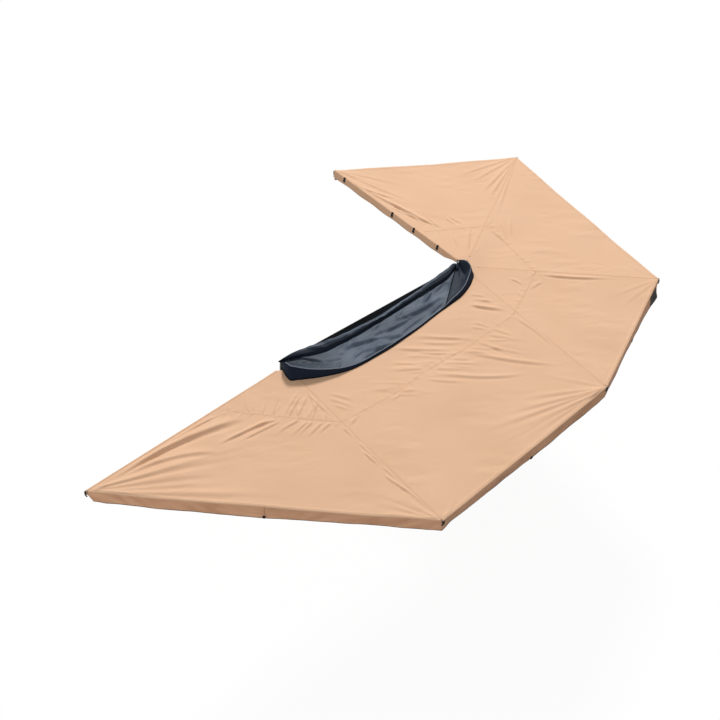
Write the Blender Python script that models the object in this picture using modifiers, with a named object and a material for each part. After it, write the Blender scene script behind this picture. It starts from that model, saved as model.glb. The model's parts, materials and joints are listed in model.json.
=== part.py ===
"""Free-standing side awning for a vehicle: two hubs on one rail, six folding arms, a five-panel canopy.

+X points to the vehicle's front, +Y away from the vehicle, +Z up. The origin is the middle of the
middle bracket's foot, on its underside. The awning is modelled open.
"""

import math

import bmesh
import bpy
from mathutils import Matrix, Vector

# Clearances
GAP = 0.0003                  # between faces that touch
BORE_CLEARANCE = 0.0003       # radial, between a pin and its hole
JOIN_OVERLAP = 0.001          # of two shapes that become one solid
CUT_MARGIN = 0.002            # a cutter's length past the face that it opens

# Mounting brackets
BRACKET_SPACING = 0.850       # middle bracket to either outer one
FOOT_WIDTH = 0.064
FOOT_DEPTH = 0.060
BRACKET_PLATE = 0.005
BRACKET_HEIGHT = 0.098
BRACKET_CORNER = 0.004
BRACKET_SLOT_RADIUS = 0.0045
BRACKET_SLOT_LENGTH = 0.030
BRACKET_SLOT_OFFSET = 0.016
GUSSET_THICKNESS = 0.004
GUSSET_INSET = 0.001          # from the bracket's side
GUSSET_FOOT = 0.040
GUSSET_HEIGHT = 0.060

# Rail: a web with two bolt slots behind it and two keder tracks on top
RAIL_OVERHANG = 0.020         # past each hub's base pin
RAIL_BOTTOM = 0.008
WEB_HEIGHT = 0.094
WEB_THICKNESS = 0.004
BOLT_SLOT_DEPTH = 0.012
BOLT_SLOT_HALF = 0.013
BOLT_SLOT_WALL = 0.0025
BOLT_SLOT_MOUTH = 0.009
LOWER_SLOT_HEIGHT = 0.024     # above the rail's bottom
UPPER_SLOT_HEIGHT = 0.070
LIP_REACH = 0.007
LIP_THICKNESS = 0.003
TRACK_RADIUS = 0.0065
TRACK_BORE = 0.0043
TRACK_MOUTH_ANGLE = 24.0      # half the opening, in degrees
TRACK_RISE = 0.005            # track centre above the web's top
TRACK_OFFSET = 0.001          # canopy track's centre in front of the rail's face
TRACK_SPACING = 0.0125
END_CAP_THICKNESS = 0.004
END_CAP_CORNER = 0.005
END_CAP_PLUG = 0.010
PLUG_CORNER = 0.001

# Hubs and arm hinges
HUB_SPACING = 2.340           # rear base pin to front base pin
PIN_STANDOFF = 0.045          # base pin in front of the rail's face
REAR_ARM_LEVEL = 0.078        # mid height of the rear arms
LEVEL_STEP = 0.040            # the front arms fold under the rear ones
ARM_PITCH = 0.040             # from one arm's pin to the next
EYE_HEIGHT = 0.016
BOSS_RADIUS = 0.015
BOSS_CLEARANCE = 0.0015
FORK_THICKNESS = 0.005
FORK_CLEARANCE = 0.0004
FORK_INNER_EDGE = 0.004       # the fork plate's near corner, past the arm's middle line
FORK_BOSS_END = 215.0         # where the boss's arc ends, in degrees
RECESS_START = 108.0          # the fork plate's hollow round its own arm's boss, in degrees
RECESS_END = 20.0
ROOT_START = 0.030            # shoulder of the knuckle, from its pin
ROOT_LENGTH = 0.010
SPIGOT_LENGTH = 0.060
HUB_PLATE_THICKNESS = 0.006
HUB_PLATE_BACK = 0.020
HUB_PLATE_FRONT = 0.060
HUB_PLATE_LOW = 0.012
HUB_PLATE_HIGH = 0.098
HUB_PLATE_CORNER = 0.006
HUB_FORK_ROOT = 0.036         # the fork's root on the back plate, from the base pin
HUB_BOSS_START = -20.0        # where the base boss's arc begins, in degrees
HUB_RIB_THICKNESS = 0.005
HUB_RIB_REACH = 0.026
HUB_RIB_INSET = 0.006         # from the back plate's edge
HUB_RIB_PLACE = 0.020         # along the rail from the base pin

# Pivots
PIVOT_RADIUS = 0.005
PIVOT_HEAD_RADIUS = 0.009
PIVOT_HEAD_HEIGHT = 0.0045
PIVOT_CROWN_RADIUS = 0.005
PIVOT_SHOULDER_RADIUS = 0.008
PIVOT_SHOULDER_HEIGHT = 0.0027
BUSH_WALL = 0.0027
BUSH_FLANGE_RADIUS = 0.0125
BUSH_FLANGE_THICKNESS = 0.0015
NUT_RADIUS = 0.0087           # across corners, halved
NUT_HEIGHT = 0.008
THREAD_TAIL = 0.0015          # of a bolt, past its nut

# M8 bolts in the rail
BOLT_RADIUS = 0.004
BOLT_NUT_RADIUS = 0.0075
BOLT_NUT_HEIGHT = 0.007
T_HEAD_HEIGHT = 0.005
T_HEAD_LENGTH = 0.0196        # along the rail
T_HEAD_WIDTH = 0.0138
T_NUT_WIDTH = 0.0156
HUB_BOLT_HEAD_HEIGHT = 0.0055
HUB_BOLT_NEAR = 0.002         # along the rail from the base pin, for the bolt beside the fork
HUB_BOLT_FAR = 0.046

# Arms: heading when open, in degrees from the rail's front end, and reach of the tip from the arm's pin
ARM_1_HEADING = 2.6
ARM_1_REACH = 2.225
ARM_2_HEADING = 90.15
ARM_2_REACH = 2.246
ARM_3_HEADING = 89.0
ARM_3_REACH = 2.067
ARM_4_HEADING = 138.3
ARM_4_REACH = 2.029
ARM_5_HEADING = 209.9
ARM_5_REACH = 2.010
ARM_6_HEADING = 272.6
ARM_6_REACH = 2.022
TUBE_WIDTH = 0.022
TUBE_HEIGHT = 0.034
TUBE_WALL = 0.0022
TUBE_CORNER = 0.004
TIP_CAP_LENGTH = 0.034
TIP_PLUG_LENGTH = 0.030
TIP_EYE_RADIUS = 0.0035
TIP_EYE_INSET = 0.011
TIP_BEVEL = 0.0012
BEVEL_ANGLE = 50.0
REAR_ARMS = (("arm_3", ARM_3_HEADING, ARM_3_REACH), ("arm_4", ARM_4_HEADING, ARM_4_REACH),
             ("arm_5", ARM_5_HEADING, ARM_5_REACH), ("arm_6", ARM_6_HEADING, ARM_6_REACH))
FRONT_ARMS = (("arm_2", ARM_2_HEADING, ARM_2_REACH), ("arm_1", ARM_1_HEADING, ARM_1_REACH))

# Canopy and travel cover
CANOPY_THICKNESS = 0.0012
CORNER_OVERHANG = 0.008       # canopy corner past its arm's tip
CANOPY_LIFT = 0.0005          # above an arm's top face at the tip
CANOPY_SAG = 0.012
CANOPY_APEX = 0.050           # the fan panels start this far out from their arms' pins
CANOPY_SEAM = 0.0004          # half the gap between two panels
KEDER_RADIUS = 0.0039         # bead at the side panel's inner edge, in the rail's track
VALANCE_DROP = 0.144
PANEL_DIVISIONS = 6
VALANCE_ROWS = 2
COVER_THICKNESS = 0.0022
COVER_LIFT = 0.0008           # its underside above the keder tracks
COVER_REACH = 0.450           # hinge line to outer wall, where the cover is widest
COVER_WALL = 0.125            # the outer wall's height, where it is highest
COVER_WALL_LEAN = 0.016
COVER_LEAST_RIM = 0.017
COVER_RIDGE = 0.034           # the fold along the hinge line
COVER_VALLEY = 0.004
COVER_FLAP = 0.022
# Across the cover from its hinge line to its outer wall: share of the reach, and height
COVER_SECTION = ((0.0, 0.0), (0.10, COVER_RIDGE), (0.26, COVER_VALLEY), (0.62, COVER_FLAP))
# Shares of the hub spacing from the rear base pin, of the cover's reach and of its wall's height
COVER_STATIONS = ((-0.060, 0.133, 0.240), (-0.021, 0.356, 0.320), (0.073, 0.622, 0.240),
                  (0.180, 0.756, 0.208), (0.299, 0.827, 0.192), (0.449, 0.911, 0.192),
                  (0.594, 0.956, 0.224), (0.739, 1.000, 0.400), (0.825, 0.933, 0.720),
                  (0.897, 0.778, 0.960), (0.962, 0.600, 1.000), (1.017, 0.400, 0.880))

# Places worked out from the sizes above
LEG_BACK = FOOT_DEPTH / 2 - BRACKET_PLATE
RAIL_BACK = FOOT_DEPTH / 2 + GAP
WEB_BACK = RAIL_BACK + BOLT_SLOT_DEPTH
RAIL_FACE = WEB_BACK + WEB_THICKNESS
PIN_LINE = RAIL_FACE + PIN_STANDOFF
WEB_TOP = RAIL_BOTTOM + WEB_HEIGHT
TRACK_LEVEL = WEB_TOP + TRACK_RISE
CANOPY_TRACK = RAIL_FACE + TRACK_OFFSET
COVER_TRACK = CANOPY_TRACK - TRACK_SPACING
RAIL_HALF = HUB_SPACING / 2 + RAIL_OVERHANG
FRONT_ARM_LEVEL = REAR_ARM_LEVEL - LEVEL_STEP
CANOPY_EDGE = CANOPY_TRACK + KEDER_RADIUS - JOIN_OVERLAP - CANOPY_SEAM
BUSH_RADIUS = PIVOT_RADIUS + BORE_CLEARANCE + BUSH_WALL
EYE_BORE = BUSH_RADIUS + BORE_CLEARANCE
PIVOT_BORE = PIVOT_RADIUS + BORE_CLEARANCE
FORK_TOP_START = EYE_HEIGHT / 2 + GAP + BUSH_FLANGE_THICKNESS + GAP
FORK_BOTTOM_START = EYE_HEIGHT / 2 + FORK_CLEARANCE
FORK_LEVELS = ((FORK_TOP_START, FORK_TOP_START + FORK_THICKNESS),
               (-FORK_BOTTOM_START - FORK_THICKNESS, -FORK_BOTTOM_START))
ROOT_END = ROOT_START + ROOT_LENGTH

# Fineness of the curves
ROUND_STEPS = 16
BOSS_STEPS = 14
SLOT_END_STEPS = 8
SHARP_ANGLE = 35.0            # faces that meet at more than this, in degrees, keep a sharp edge


def degrees_arc(centre, radius, start, end, steps):
    """Points on an arc from start to end, in degrees."""
    angles = [math.radians(start + (end - start) * i / steps) for i in range(steps + 1)]
    return [(centre[0] + radius * math.cos(a), centre[1] + radius * math.sin(a)) for a in angles]


def circle(radius, centre=(0.0, 0.0), steps=ROUND_STEPS):
    return degrees_arc(centre, radius, 0.0, 360.0, steps)[:-1]


def rounded_rectangle(width, height, corner, centre=(0.0, 0.0), steps=3):
    points = []
    for index, (sx, sy) in enumerate(((1, 1), (-1, 1), (-1, -1), (1, -1))):
        middle = (centre[0] + sx * (width / 2 - corner), centre[1] + sy * (height / 2 - corner))
        points += degrees_arc(middle, corner, 90.0 * index, 90.0 * index + 90.0, steps)
    return points


def slot_outline(radius, length, centre):
    """A slot that runs along the outline's second axis."""
    half = length / 2 - radius
    upper = degrees_arc((centre[0], centre[1] + half), radius, 0.0, 180.0, SLOT_END_STEPS)
    lower = degrees_arc((centre[0], centre[1] - half), radius, 180.0, 360.0, SLOT_END_STEPS)
    return upper + lower


def mirrored(points, side):
    """The outline with its second axis turned over where side is -1."""
    return [(x, y * side) for x, y in points]


def make_collection(name):
    collection = bpy.data.collections.new(name)
    bpy.context.scene.collection.children.link(collection)
    return collection


def make_material(name, colour, roughness, metallic):
    material = bpy.data.materials.new(name)
    material.use_nodes = True
    shader = material.node_tree.nodes["Principled BSDF"]
    shader.inputs["Base Color"].default_value = (*colour, 1.0)
    shader.inputs["Roughness"].default_value = roughness
    shader.inputs["Metallic"].default_value = metallic
    return material


def evaluated_mesh(obj):
    """A new mesh with the object's modifiers or curve applied."""
    graph = bpy.context.evaluated_depsgraph_get()
    return bpy.data.meshes.new_from_object(obj.evaluated_get(graph))


def clean_mesh(mesh):
    """Weld a curve's loose caps and turn every face outwards."""
    shape = bmesh.new()
    shape.from_mesh(mesh)
    bmesh.ops.remove_doubles(shape, verts=shape.verts, dist=1e-6)
    bmesh.ops.recalc_face_normals(shape, faces=shape.faces)
    shape.to_mesh(mesh)
    shape.free()


def outline_solid(name, outlines, low, high, placing=None):
    """Extrude a flat outline, with its holes, from low to high along its normal."""
    curve = bpy.data.curves.new(name, "CURVE")
    curve.dimensions = "2D"
    curve.fill_mode = "BOTH"
    curve.extrude = (high - low) / 2
    for outline in outlines:
        spline = curve.splines.new("POLY")
        spline.points.add(len(outline) - 1)
        for point, (x, y) in zip(spline.points, outline):
            point.co = (x, y, 0.0, 1.0)
        spline.use_cyclic_u = True
    holder = bpy.data.objects.new(name, curve)
    bpy.context.scene.collection.objects.link(holder)
    mesh = evaluated_mesh(holder)
    bpy.data.objects.remove(holder)
    bpy.data.curves.remove(curve)
    mesh.transform(Matrix.Translation((0.0, 0.0, (low + high) / 2)))
    if placing is not None:
        mesh.transform(placing)
    clean_mesh(mesh)
    obj = bpy.data.objects.new(name, mesh)
    bpy.context.scene.collection.objects.link(obj)
    return obj


def along_x():
    """Outline axes to Y and Z, extruded along X."""
    return Matrix(((0, 0, 1, 0), (1, 0, 0, 0), (0, 1, 0, 0), (0, 0, 0, 1)))


def along_y():
    """Outline axes to X and Z, extruded along -Y."""
    return Matrix(((1, 0, 0, 0), (0, 0, -1, 0), (0, 1, 0, 0), (0, 0, 0, 1)))


def turned_solid(name, profile, closed=False):
    """Turn a profile of (radius, height) points about Z; it runs down its outer side."""
    mesh = bpy.data.meshes.new(name)
    points = [(radius, 0.0, height) for radius, height in profile]
    edges = [(i, i + 1) for i in range(len(points) - 1)]
    if closed:
        edges.append((len(points) - 1, 0))
    mesh.from_pydata(points, edges, [])
    obj = bpy.data.objects.new(name, mesh)
    bpy.context.scene.collection.objects.link(obj)
    screw = obj.modifiers.new("turn", "SCREW")
    screw.axis = "Z"
    screw.steps = ROUND_STEPS
    screw.render_steps = ROUND_STEPS
    screw.use_merge_vertices = True
    screw.merge_threshold = 1e-6
    obj.data = evaluated_mesh(obj)
    obj.modifiers.clear()
    clean_mesh(obj.data)
    return obj


def combine(target, other, operation="UNION"):
    """Join the other solid to the target, or cut it away, and remove it."""
    boolean = target.modifiers.new("join", "BOOLEAN")
    boolean.operation = operation
    boolean.solver = "EXACT"
    boolean.object = other
    target.data = evaluated_mesh(target)
    target.modifiers.clear()
    bpy.data.objects.remove(other)


def move(obj, placing):
    obj.data.transform(placing)
    return obj


def register(obj, name, material, parent=None):
    """Name the finished piece, dress it, shade it and put it in the awning's collection."""
    obj.name = name
    obj.data.name = name
    obj.data.materials.clear()
    obj.data.materials.append(material)
    for holder in list(obj.users_collection):
        holder.objects.unlink(obj)
    AWNING.objects.link(obj)
    obj.data.shade_smooth()
    obj.data.set_sharp_from_angle(angle=math.radians(SHARP_ANGLE))
    if parent is not None:
        obj.parent = parent
    return obj


def pivot_frame(name, parent, place, heading, level=0.0):
    """An empty on a hinge pin, turned to its arm's heading; the pieces of the arm hang from it."""
    empty = bpy.data.objects.new(name, None)
    AWNING.objects.link(empty)
    empty.parent = parent
    empty.location = (place[0], place[1], level)
    empty.rotation_euler = (0.0, 0.0, math.radians(heading))
    empty.empty_display_size = 0.05
    return empty


def rail_profile():
    """The web with its two bolt slots and its bottom lip, as one outline in Y and Z."""
    points = [(WEB_BACK, RAIL_BOTTOM)]
    for height in (LOWER_SLOT_HEIGHT, UPPER_SLOT_HEIGHT):
        middle = RAIL_BOTTOM + height
        lip = RAIL_BACK + BOLT_SLOT_WALL
        outer = BOLT_SLOT_HALF
        inner = BOLT_SLOT_HALF - BOLT_SLOT_WALL
        mouth = BOLT_SLOT_MOUTH / 2
        lower_half = [(WEB_BACK, -outer), (RAIL_BACK, -outer), (RAIL_BACK, -mouth), (lip, -mouth),
                      (lip, -inner), (WEB_BACK, -inner)]
        upper_half = [(y, -z) for y, z in reversed(lower_half)]
        points += [(y, middle + z) for y, z in lower_half + upper_half]
    points += [(WEB_BACK, WEB_TOP), (RAIL_FACE, WEB_TOP), (RAIL_FACE, RAIL_BOTTOM + LIP_THICKNESS),
               (RAIL_FACE + LIP_REACH, RAIL_BOTTOM + LIP_THICKNESS), (RAIL_FACE + LIP_REACH, RAIL_BOTTOM)]
    return points


def track_profile(place, opening):
    """A keder track: a tube with a mouth towards the opening's angle."""
    start = opening + TRACK_MOUTH_ANGLE
    end = opening + 360.0 - TRACK_MOUTH_ANGLE
    centre = (place, TRACK_LEVEL)
    outer = degrees_arc(centre, TRACK_RADIUS, start, end, BOSS_STEPS)
    inner = degrees_arc(centre, TRACK_BORE, end, start, BOSS_STEPS)
    return outer + inner


def hub_bolt_places(direction):
    """Where a hub bracket's bolts cross the rail's web, as (x, z): one in each slot, clear of the fork."""
    base = direction * -HUB_SPACING / 2
    heights = (LOWER_SLOT_HEIGHT, UPPER_SLOT_HEIGHT)
    if direction < 0:
        heights = (UPPER_SLOT_HEIGHT, LOWER_SLOT_HEIGHT)
    return [(base + direction * along, RAIL_BOTTOM + height)
            for along, height in zip((HUB_BOLT_NEAR, HUB_BOLT_FAR), heights)]


def make_rail():
    rail = outline_solid("rail", [rail_profile()], -RAIL_HALF, RAIL_HALF, along_x())
    for place, opening in ((CANOPY_TRACK, 0.0), (COVER_TRACK, 90.0)):
        track = outline_solid("track", [track_profile(place, opening)], -RAIL_HALF, RAIL_HALF, along_x())
        combine(rail, track)
    for place in hub_bolt_places(1) + hub_bolt_places(-1):
        hole = circle(BOLT_RADIUS + BORE_CLEARANCE, place)
        cutter = outline_solid("hole", [hole], -RAIL_FACE - CUT_MARGIN, -WEB_BACK + CUT_MARGIN, along_y())
        combine(rail, cutter, "DIFFERENCE")
    register(rail, "mounting_rail", ALUMINIUM)


def make_end_caps():
    height = TRACK_LEVEL + TRACK_RADIUS - RAIL_BOTTOM
    depth = CANOPY_TRACK + TRACK_RADIUS - RAIL_BACK
    centre = (RAIL_BACK + depth / 2, RAIL_BOTTOM + height / 2)
    plug_width = BOLT_SLOT_DEPTH - BOLT_SLOT_WALL - 2 * GAP
    plug_height = 2 * (BOLT_SLOT_HALF - BOLT_SLOT_WALL) - 2 * GAP
    plug_centre = (WEB_BACK + RAIL_BACK + BOLT_SLOT_WALL) / 2
    for name, direction in (("rear_end_cap", -1), ("front_end_cap", 1)):
        inner = RAIL_HALF + GAP
        plate = rounded_rectangle(depth, height, END_CAP_CORNER, centre)
        cap = outline_solid(name, [plate], inner, inner + END_CAP_THICKNESS, along_x())
        for slot_height in (LOWER_SLOT_HEIGHT, UPPER_SLOT_HEIGHT):
            middle = (plug_centre, RAIL_BOTTOM + slot_height)
            plug = rounded_rectangle(plug_width, plug_height, PLUG_CORNER, middle, 1)
            combine(cap, outline_solid("plug", [plug], inner - END_CAP_PLUG, inner + JOIN_OVERLAP, along_x()))
        if direction < 0:
            move(cap, Matrix.Scale(-1.0, 4, (1, 0, 0)))
            clean_mesh(cap.data)
        register(cap, name, POLYMER)


def make_bracket(name, place):
    """An L of plate with two slots in its foot, two bolt holes in its leg and a gusset at each side."""
    slots = [slot_outline(BRACKET_SLOT_RADIUS, BRACKET_SLOT_LENGTH, (side * BRACKET_SLOT_OFFSET, 0.0))
             for side in (-1, 1)]
    foot_plate = rounded_rectangle(FOOT_WIDTH, FOOT_DEPTH, BRACKET_CORNER)
    foot = outline_solid(name, [foot_plate] + slots, 0.0, BRACKET_PLATE)
    leg_plate = rounded_rectangle(FOOT_WIDTH, BRACKET_HEIGHT, BRACKET_CORNER, (0.0, BRACKET_HEIGHT / 2))
    holes = [circle(BOLT_RADIUS + BORE_CLEARANCE, (0.0, RAIL_BOTTOM + height))
             for height in (LOWER_SLOT_HEIGHT, UPPER_SLOT_HEIGHT)]
    leg = outline_solid("leg", [leg_plate] + holes, -FOOT_DEPTH / 2, -LEG_BACK, along_y())
    combine(foot, leg)
    for side in (-1, 1):
        back = LEG_BACK + JOIN_OVERLAP
        front = LEG_BACK - GUSSET_FOOT
        gusset = [(back, JOIN_OVERLAP), (back, GUSSET_HEIGHT), (LEG_BACK, GUSSET_HEIGHT),
                  (front, BRACKET_PLATE), (front, JOIN_OVERLAP)]
        outer = side * (FOOT_WIDTH / 2 - GUSSET_INSET)
        inner = outer - side * GUSSET_THICKNESS
        combine(foot, outline_solid("gusset", [gusset], min(inner, outer), max(inner, outer), along_x()))
    move(foot, Matrix.Translation((place, 0.0, 0.0)))
    register(foot, name, STEEL_COATED)


def make_bracket_bolt(name, place, height):
    """A T-slot bolt with its lock nut run down on the bracket's leg."""
    head_start = RAIL_BACK + BOLT_SLOT_WALL + GAP
    head = rounded_rectangle(T_HEAD_LENGTH, T_HEAD_WIDTH, PLUG_CORNER, (place, height), 1)
    bolt = outline_solid(name, [head], -head_start - T_HEAD_HEIGHT, -head_start, along_y())
    nut_end = LEG_BACK - GAP
    nut = circle(BOLT_NUT_RADIUS, (place, height), 6)
    combine(bolt, outline_solid("nut", [nut], -nut_end, -nut_end + BOLT_NUT_HEIGHT, along_y()))
    shank = circle(BOLT_RADIUS, (place, height))
    tail = nut_end - BOLT_NUT_HEIGHT - THREAD_TAIL
    combine(bolt, outline_solid("shank", [shank], -head_start - JOIN_OVERLAP, -tail, along_y()))
    register(bolt, name, ZINC)


def make_hub_bolt(name, place, height):
    """A hex bolt through the hub bracket and the web into a T-nut in the slot behind."""
    head_start = RAIL_FACE + GAP + HUB_PLATE_THICKNESS + GAP
    nut_end = WEB_BACK - GAP
    head = circle(BOLT_NUT_RADIUS, (place, height), 6)
    bolt = outline_solid(name, [head], -head_start - HUB_BOLT_HEAD_HEIGHT, -head_start, along_y())
    nut = rounded_rectangle(T_HEAD_LENGTH, T_NUT_WIDTH, PLUG_CORNER, (place, height), 1)
    combine(bolt, outline_solid("nut", [nut], -nut_end, -nut_end + T_HEAD_HEIGHT, along_y()))
    shank = circle(BOLT_RADIUS, (place, height))
    shank_ends = (-head_start - JOIN_OVERLAP, -nut_end + JOIN_OVERLAP)
    combine(bolt, outline_solid("shank", [shank], *shank_ends, along_y()))
    register(bolt, name, ZINC)


def base_fork_outline(direction):
    """The hub bracket's fork plate, round the base pin and back to the rail; the pin is the origin."""
    root = -PIN_STANDOFF + GAP + JOIN_OVERLAP
    boss = degrees_arc((0.0, 0.0), BOSS_RADIUS, HUB_BOSS_START, 180.0, BOSS_STEPS)
    points = [(-BOSS_RADIUS, root), (HUB_FORK_ROOT, root)] + boss
    return [(x * direction, y) for x, y in points]


def make_hub_bracket(name, direction, level):
    """A back plate on the rail that carries a two-plate fork for the base pin, with a rib below or above."""
    base = direction * -HUB_SPACING / 2
    width = HUB_PLATE_BACK + HUB_PLATE_FRONT
    height = HUB_PLATE_HIGH - HUB_PLATE_LOW
    middle = (base + direction * (HUB_PLATE_FRONT - HUB_PLATE_BACK) / 2, HUB_PLATE_LOW + height / 2)
    plate = rounded_rectangle(width, height, HUB_PLATE_CORNER, middle)
    holes = [circle(BOLT_RADIUS + BORE_CLEARANCE, place) for place in hub_bolt_places(direction)]
    face = RAIL_FACE + GAP
    bracket = outline_solid(name, [plate] + holes, -face - HUB_PLATE_THICKNESS, -face, along_y())
    for low, high in FORK_LEVELS:
        outlines = [base_fork_outline(direction), circle(PIVOT_BORE)]
        fork = outline_solid("fork", outlines, level + low, level + high)
        combine(bracket, move(fork, Matrix.Translation((base, PIN_LINE, 0.0))))
    root = HUB_PLATE_LOW + HUB_RIB_INSET
    tip = level + FORK_LEVELS[1][0] + JOIN_OVERLAP
    if direction < 0:
        root = HUB_PLATE_HIGH - HUB_RIB_INSET
        tip = level + FORK_LEVELS[0][1] - JOIN_OVERLAP
    back = face + JOIN_OVERLAP
    rib = [(back, root), (face + HUB_PLATE_THICKNESS, root), (face + HUB_RIB_REACH, tip), (back, tip)]
    rib_centre = base + direction * HUB_RIB_PLACE
    half = HUB_RIB_THICKNESS / 2
    combine(bracket, outline_solid("rib", [rib], rib_centre - half, rib_centre + half, along_x()))
    register(bracket, name, CAST)


def eye_outline():
    """The knuckle's tongue: a boss round its pin and a neck out to the arm's root."""
    neck = EYE_HEIGHT / 2
    start = math.degrees(math.asin(neck / BOSS_RADIUS))
    boss = degrees_arc((0.0, 0.0), BOSS_RADIUS, start, 360.0 - start, BOSS_STEPS)
    end = ROOT_START + JOIN_OVERLAP
    return boss + [(end, -neck), (end, neck)]


def fork_outline():
    """The plate that carries the next arm's pin, kept clear of the boss that turns beside it."""
    corner = Vector((ROOT_END, TUBE_WIDTH / 2 - JOIN_OVERLAP))
    towards = Vector((0.0, ARM_PITCH)) - corner
    heading = math.degrees(math.atan2(towards.y, towards.x))
    spread = math.degrees(math.asin(BOSS_RADIUS / towards.length))
    boss_start = heading - spread - 90.0
    boss = degrees_arc((0.0, ARM_PITCH), BOSS_RADIUS, boss_start, FORK_BOSS_END, BOSS_STEPS)
    recess_radius = BOSS_RADIUS + BOSS_CLEARANCE
    recess = degrees_arc((0.0, 0.0), recess_radius, RECESS_START, RECESS_END, BOSS_STEPS)
    return [tuple(corner)] + boss + recess + [(ROOT_END, -FORK_INNER_EDGE)]


def make_knuckle(name, side, carries_next, parent):
    """Cast root of an arm: tongue, shoulder, spigot into the tube and, if asked, the next arm's fork."""
    bore = circle(EYE_BORE)
    eye = outline_solid(name, [eye_outline(), bore], -EYE_HEIGHT / 2, EYE_HEIGHT / 2)
    shoulder = rounded_rectangle(TUBE_WIDTH, TUBE_HEIGHT, TUBE_CORNER)
    combine(eye, outline_solid("shoulder", [shoulder], ROOT_START, ROOT_END, along_x()))
    fit = 2 * (TUBE_WALL + GAP)
    spigot = rounded_rectangle(TUBE_WIDTH - fit, TUBE_HEIGHT - fit, TUBE_CORNER - TUBE_WALL, steps=2)
    spigot_ends = (ROOT_END - JOIN_OVERLAP, ROOT_END + SPIGOT_LENGTH)
    combine(eye, outline_solid("spigot", [spigot], *spigot_ends, along_x()))
    if carries_next:
        outline = mirrored(fork_outline(), side)
        hole = circle(PIVOT_BORE, (0.0, side * ARM_PITCH))
        for low, high in FORK_LEVELS:
            combine(eye, outline_solid("fork", [outline, hole], low, high))
    register(eye, name, CAST, parent)


def make_tube(name, reach, parent):
    outer = rounded_rectangle(TUBE_WIDTH, TUBE_HEIGHT, TUBE_CORNER)
    inner = rounded_rectangle(TUBE_WIDTH - 2 * TUBE_WALL, TUBE_HEIGHT - 2 * TUBE_WALL,
                              TUBE_CORNER - TUBE_WALL, steps=2)
    start = ROOT_END + GAP
    end = reach - TIP_CAP_LENGTH - GAP
    register(outline_solid(name, [outer, inner], start, end, along_x()), name, ALUMINIUM, parent)


def make_tip_cap(name, reach, parent):
    """Moulded nose of an arm, with an upright eye for the canopy's corner loop."""
    shoulder = reach - TIP_CAP_LENGTH
    half = TUBE_WIDTH / 2
    nose_centre = reach - half
    round_end = degrees_arc((nose_centre, 0.0), half, -90.0, 90.0, SLOT_END_STEPS)
    nose = [(shoulder, half), (shoulder, -half)] + round_end
    cap = outline_solid(name, [nose], -TUBE_HEIGHT / 2, TUBE_HEIGHT / 2)
    bevel = cap.modifiers.new("edge", "BEVEL")
    bevel.width = TIP_BEVEL
    bevel.segments = 1
    bevel.limit_method = "ANGLE"
    bevel.angle_limit = math.radians(BEVEL_ANGLE)
    cap.data = evaluated_mesh(cap)
    cap.modifiers.clear()
    fit = 2 * (TUBE_WALL + GAP)
    plug = rounded_rectangle(TUBE_WIDTH - fit, TUBE_HEIGHT - fit, TUBE_CORNER - TUBE_WALL, steps=2)
    plug_ends = (shoulder - TIP_PLUG_LENGTH, shoulder + JOIN_OVERLAP)
    combine(cap, outline_solid("plug", [plug], *plug_ends, along_x()))
    eye = circle(TIP_EYE_RADIUS, (reach - TIP_EYE_INSET, 0.0))
    combine(cap, outline_solid("eye", [eye], -TUBE_HEIGHT, TUBE_HEIGHT), "DIFFERENCE")
    register(cap, name, POLYMER, parent)


def make_pivot(arm, frame, holder, place, level):
    """An arm's hinge: bolt and lock nut in the holder's fork, and a flanged bush in the arm's own eye."""
    top = FORK_LEVELS[0][1] + GAP
    bottom = FORK_LEVELS[1][0] - GAP
    tail = bottom - NUT_HEIGHT - THREAD_TAIL
    profile = [(0.0, top + PIVOT_HEAD_HEIGHT), (PIVOT_CROWN_RADIUS, top + PIVOT_HEAD_HEIGHT),
               (PIVOT_SHOULDER_RADIUS, top + PIVOT_SHOULDER_HEIGHT), (PIVOT_HEAD_RADIUS, top),
               (PIVOT_RADIUS, top), (PIVOT_RADIUS, tail), (0.0, tail)]
    bolt = register(turned_solid("bolt", profile), arm + "_pivot_bolt", ZINC, holder)
    nut_outline = [circle(NUT_RADIUS, steps=6), circle(PIVOT_BORE)]
    nut = outline_solid("nut", nut_outline, bottom - NUT_HEIGHT, bottom)
    register(nut, arm + "_pivot_nut", ZINC, holder)
    for piece in (bolt, nut):
        piece.location = (place[0], place[1], level)
    half = EYE_HEIGHT / 2
    flange = (half + GAP, half + GAP + BUSH_FLANGE_THICKNESS)
    sleeve = [(PIVOT_BORE, -half), (PIVOT_BORE, flange[1]), (BUSH_FLANGE_RADIUS, flange[1]),
              (BUSH_FLANGE_RADIUS, flange[0]), (BUSH_RADIUS, flange[0]), (BUSH_RADIUS, -half)]
    register(turned_solid("bush", sleeve, closed=True), arm + "_bush", BUSHING, frame)


def make_arm_chain(arms, side, level):
    """Hang each arm from the one before it, and return each one's pin and canopy corner in plan, by name."""
    parent = None
    heading_before = 0.0
    place = (-side * HUB_SPACING / 2, PIN_LINE)
    world = Vector(place)
    lines = {}
    for index, (name, heading, reach) in enumerate(arms):
        height = level if parent is None else 0.0
        frame = pivot_frame(name + "_pivot", parent, place, heading - heading_before, height)
        make_knuckle(name + "_knuckle", side, index < len(arms) - 1, frame)
        make_tube(name + "_tube", reach, frame)
        make_tip_cap(name + "_tip_cap", reach, frame)
        make_pivot(name, frame, parent, place, height)
        turned = math.radians(heading)
        ahead = Vector((math.cos(turned), math.sin(turned)))
        lines[name] = (world, world + (reach + CORNER_OVERHANG) * ahead)
        world = world + side * ARM_PITCH * Vector((-ahead.y, ahead.x))
        place = (0.0, side * ARM_PITCH)
        heading_before = heading
        parent = frame
    return lines


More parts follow.
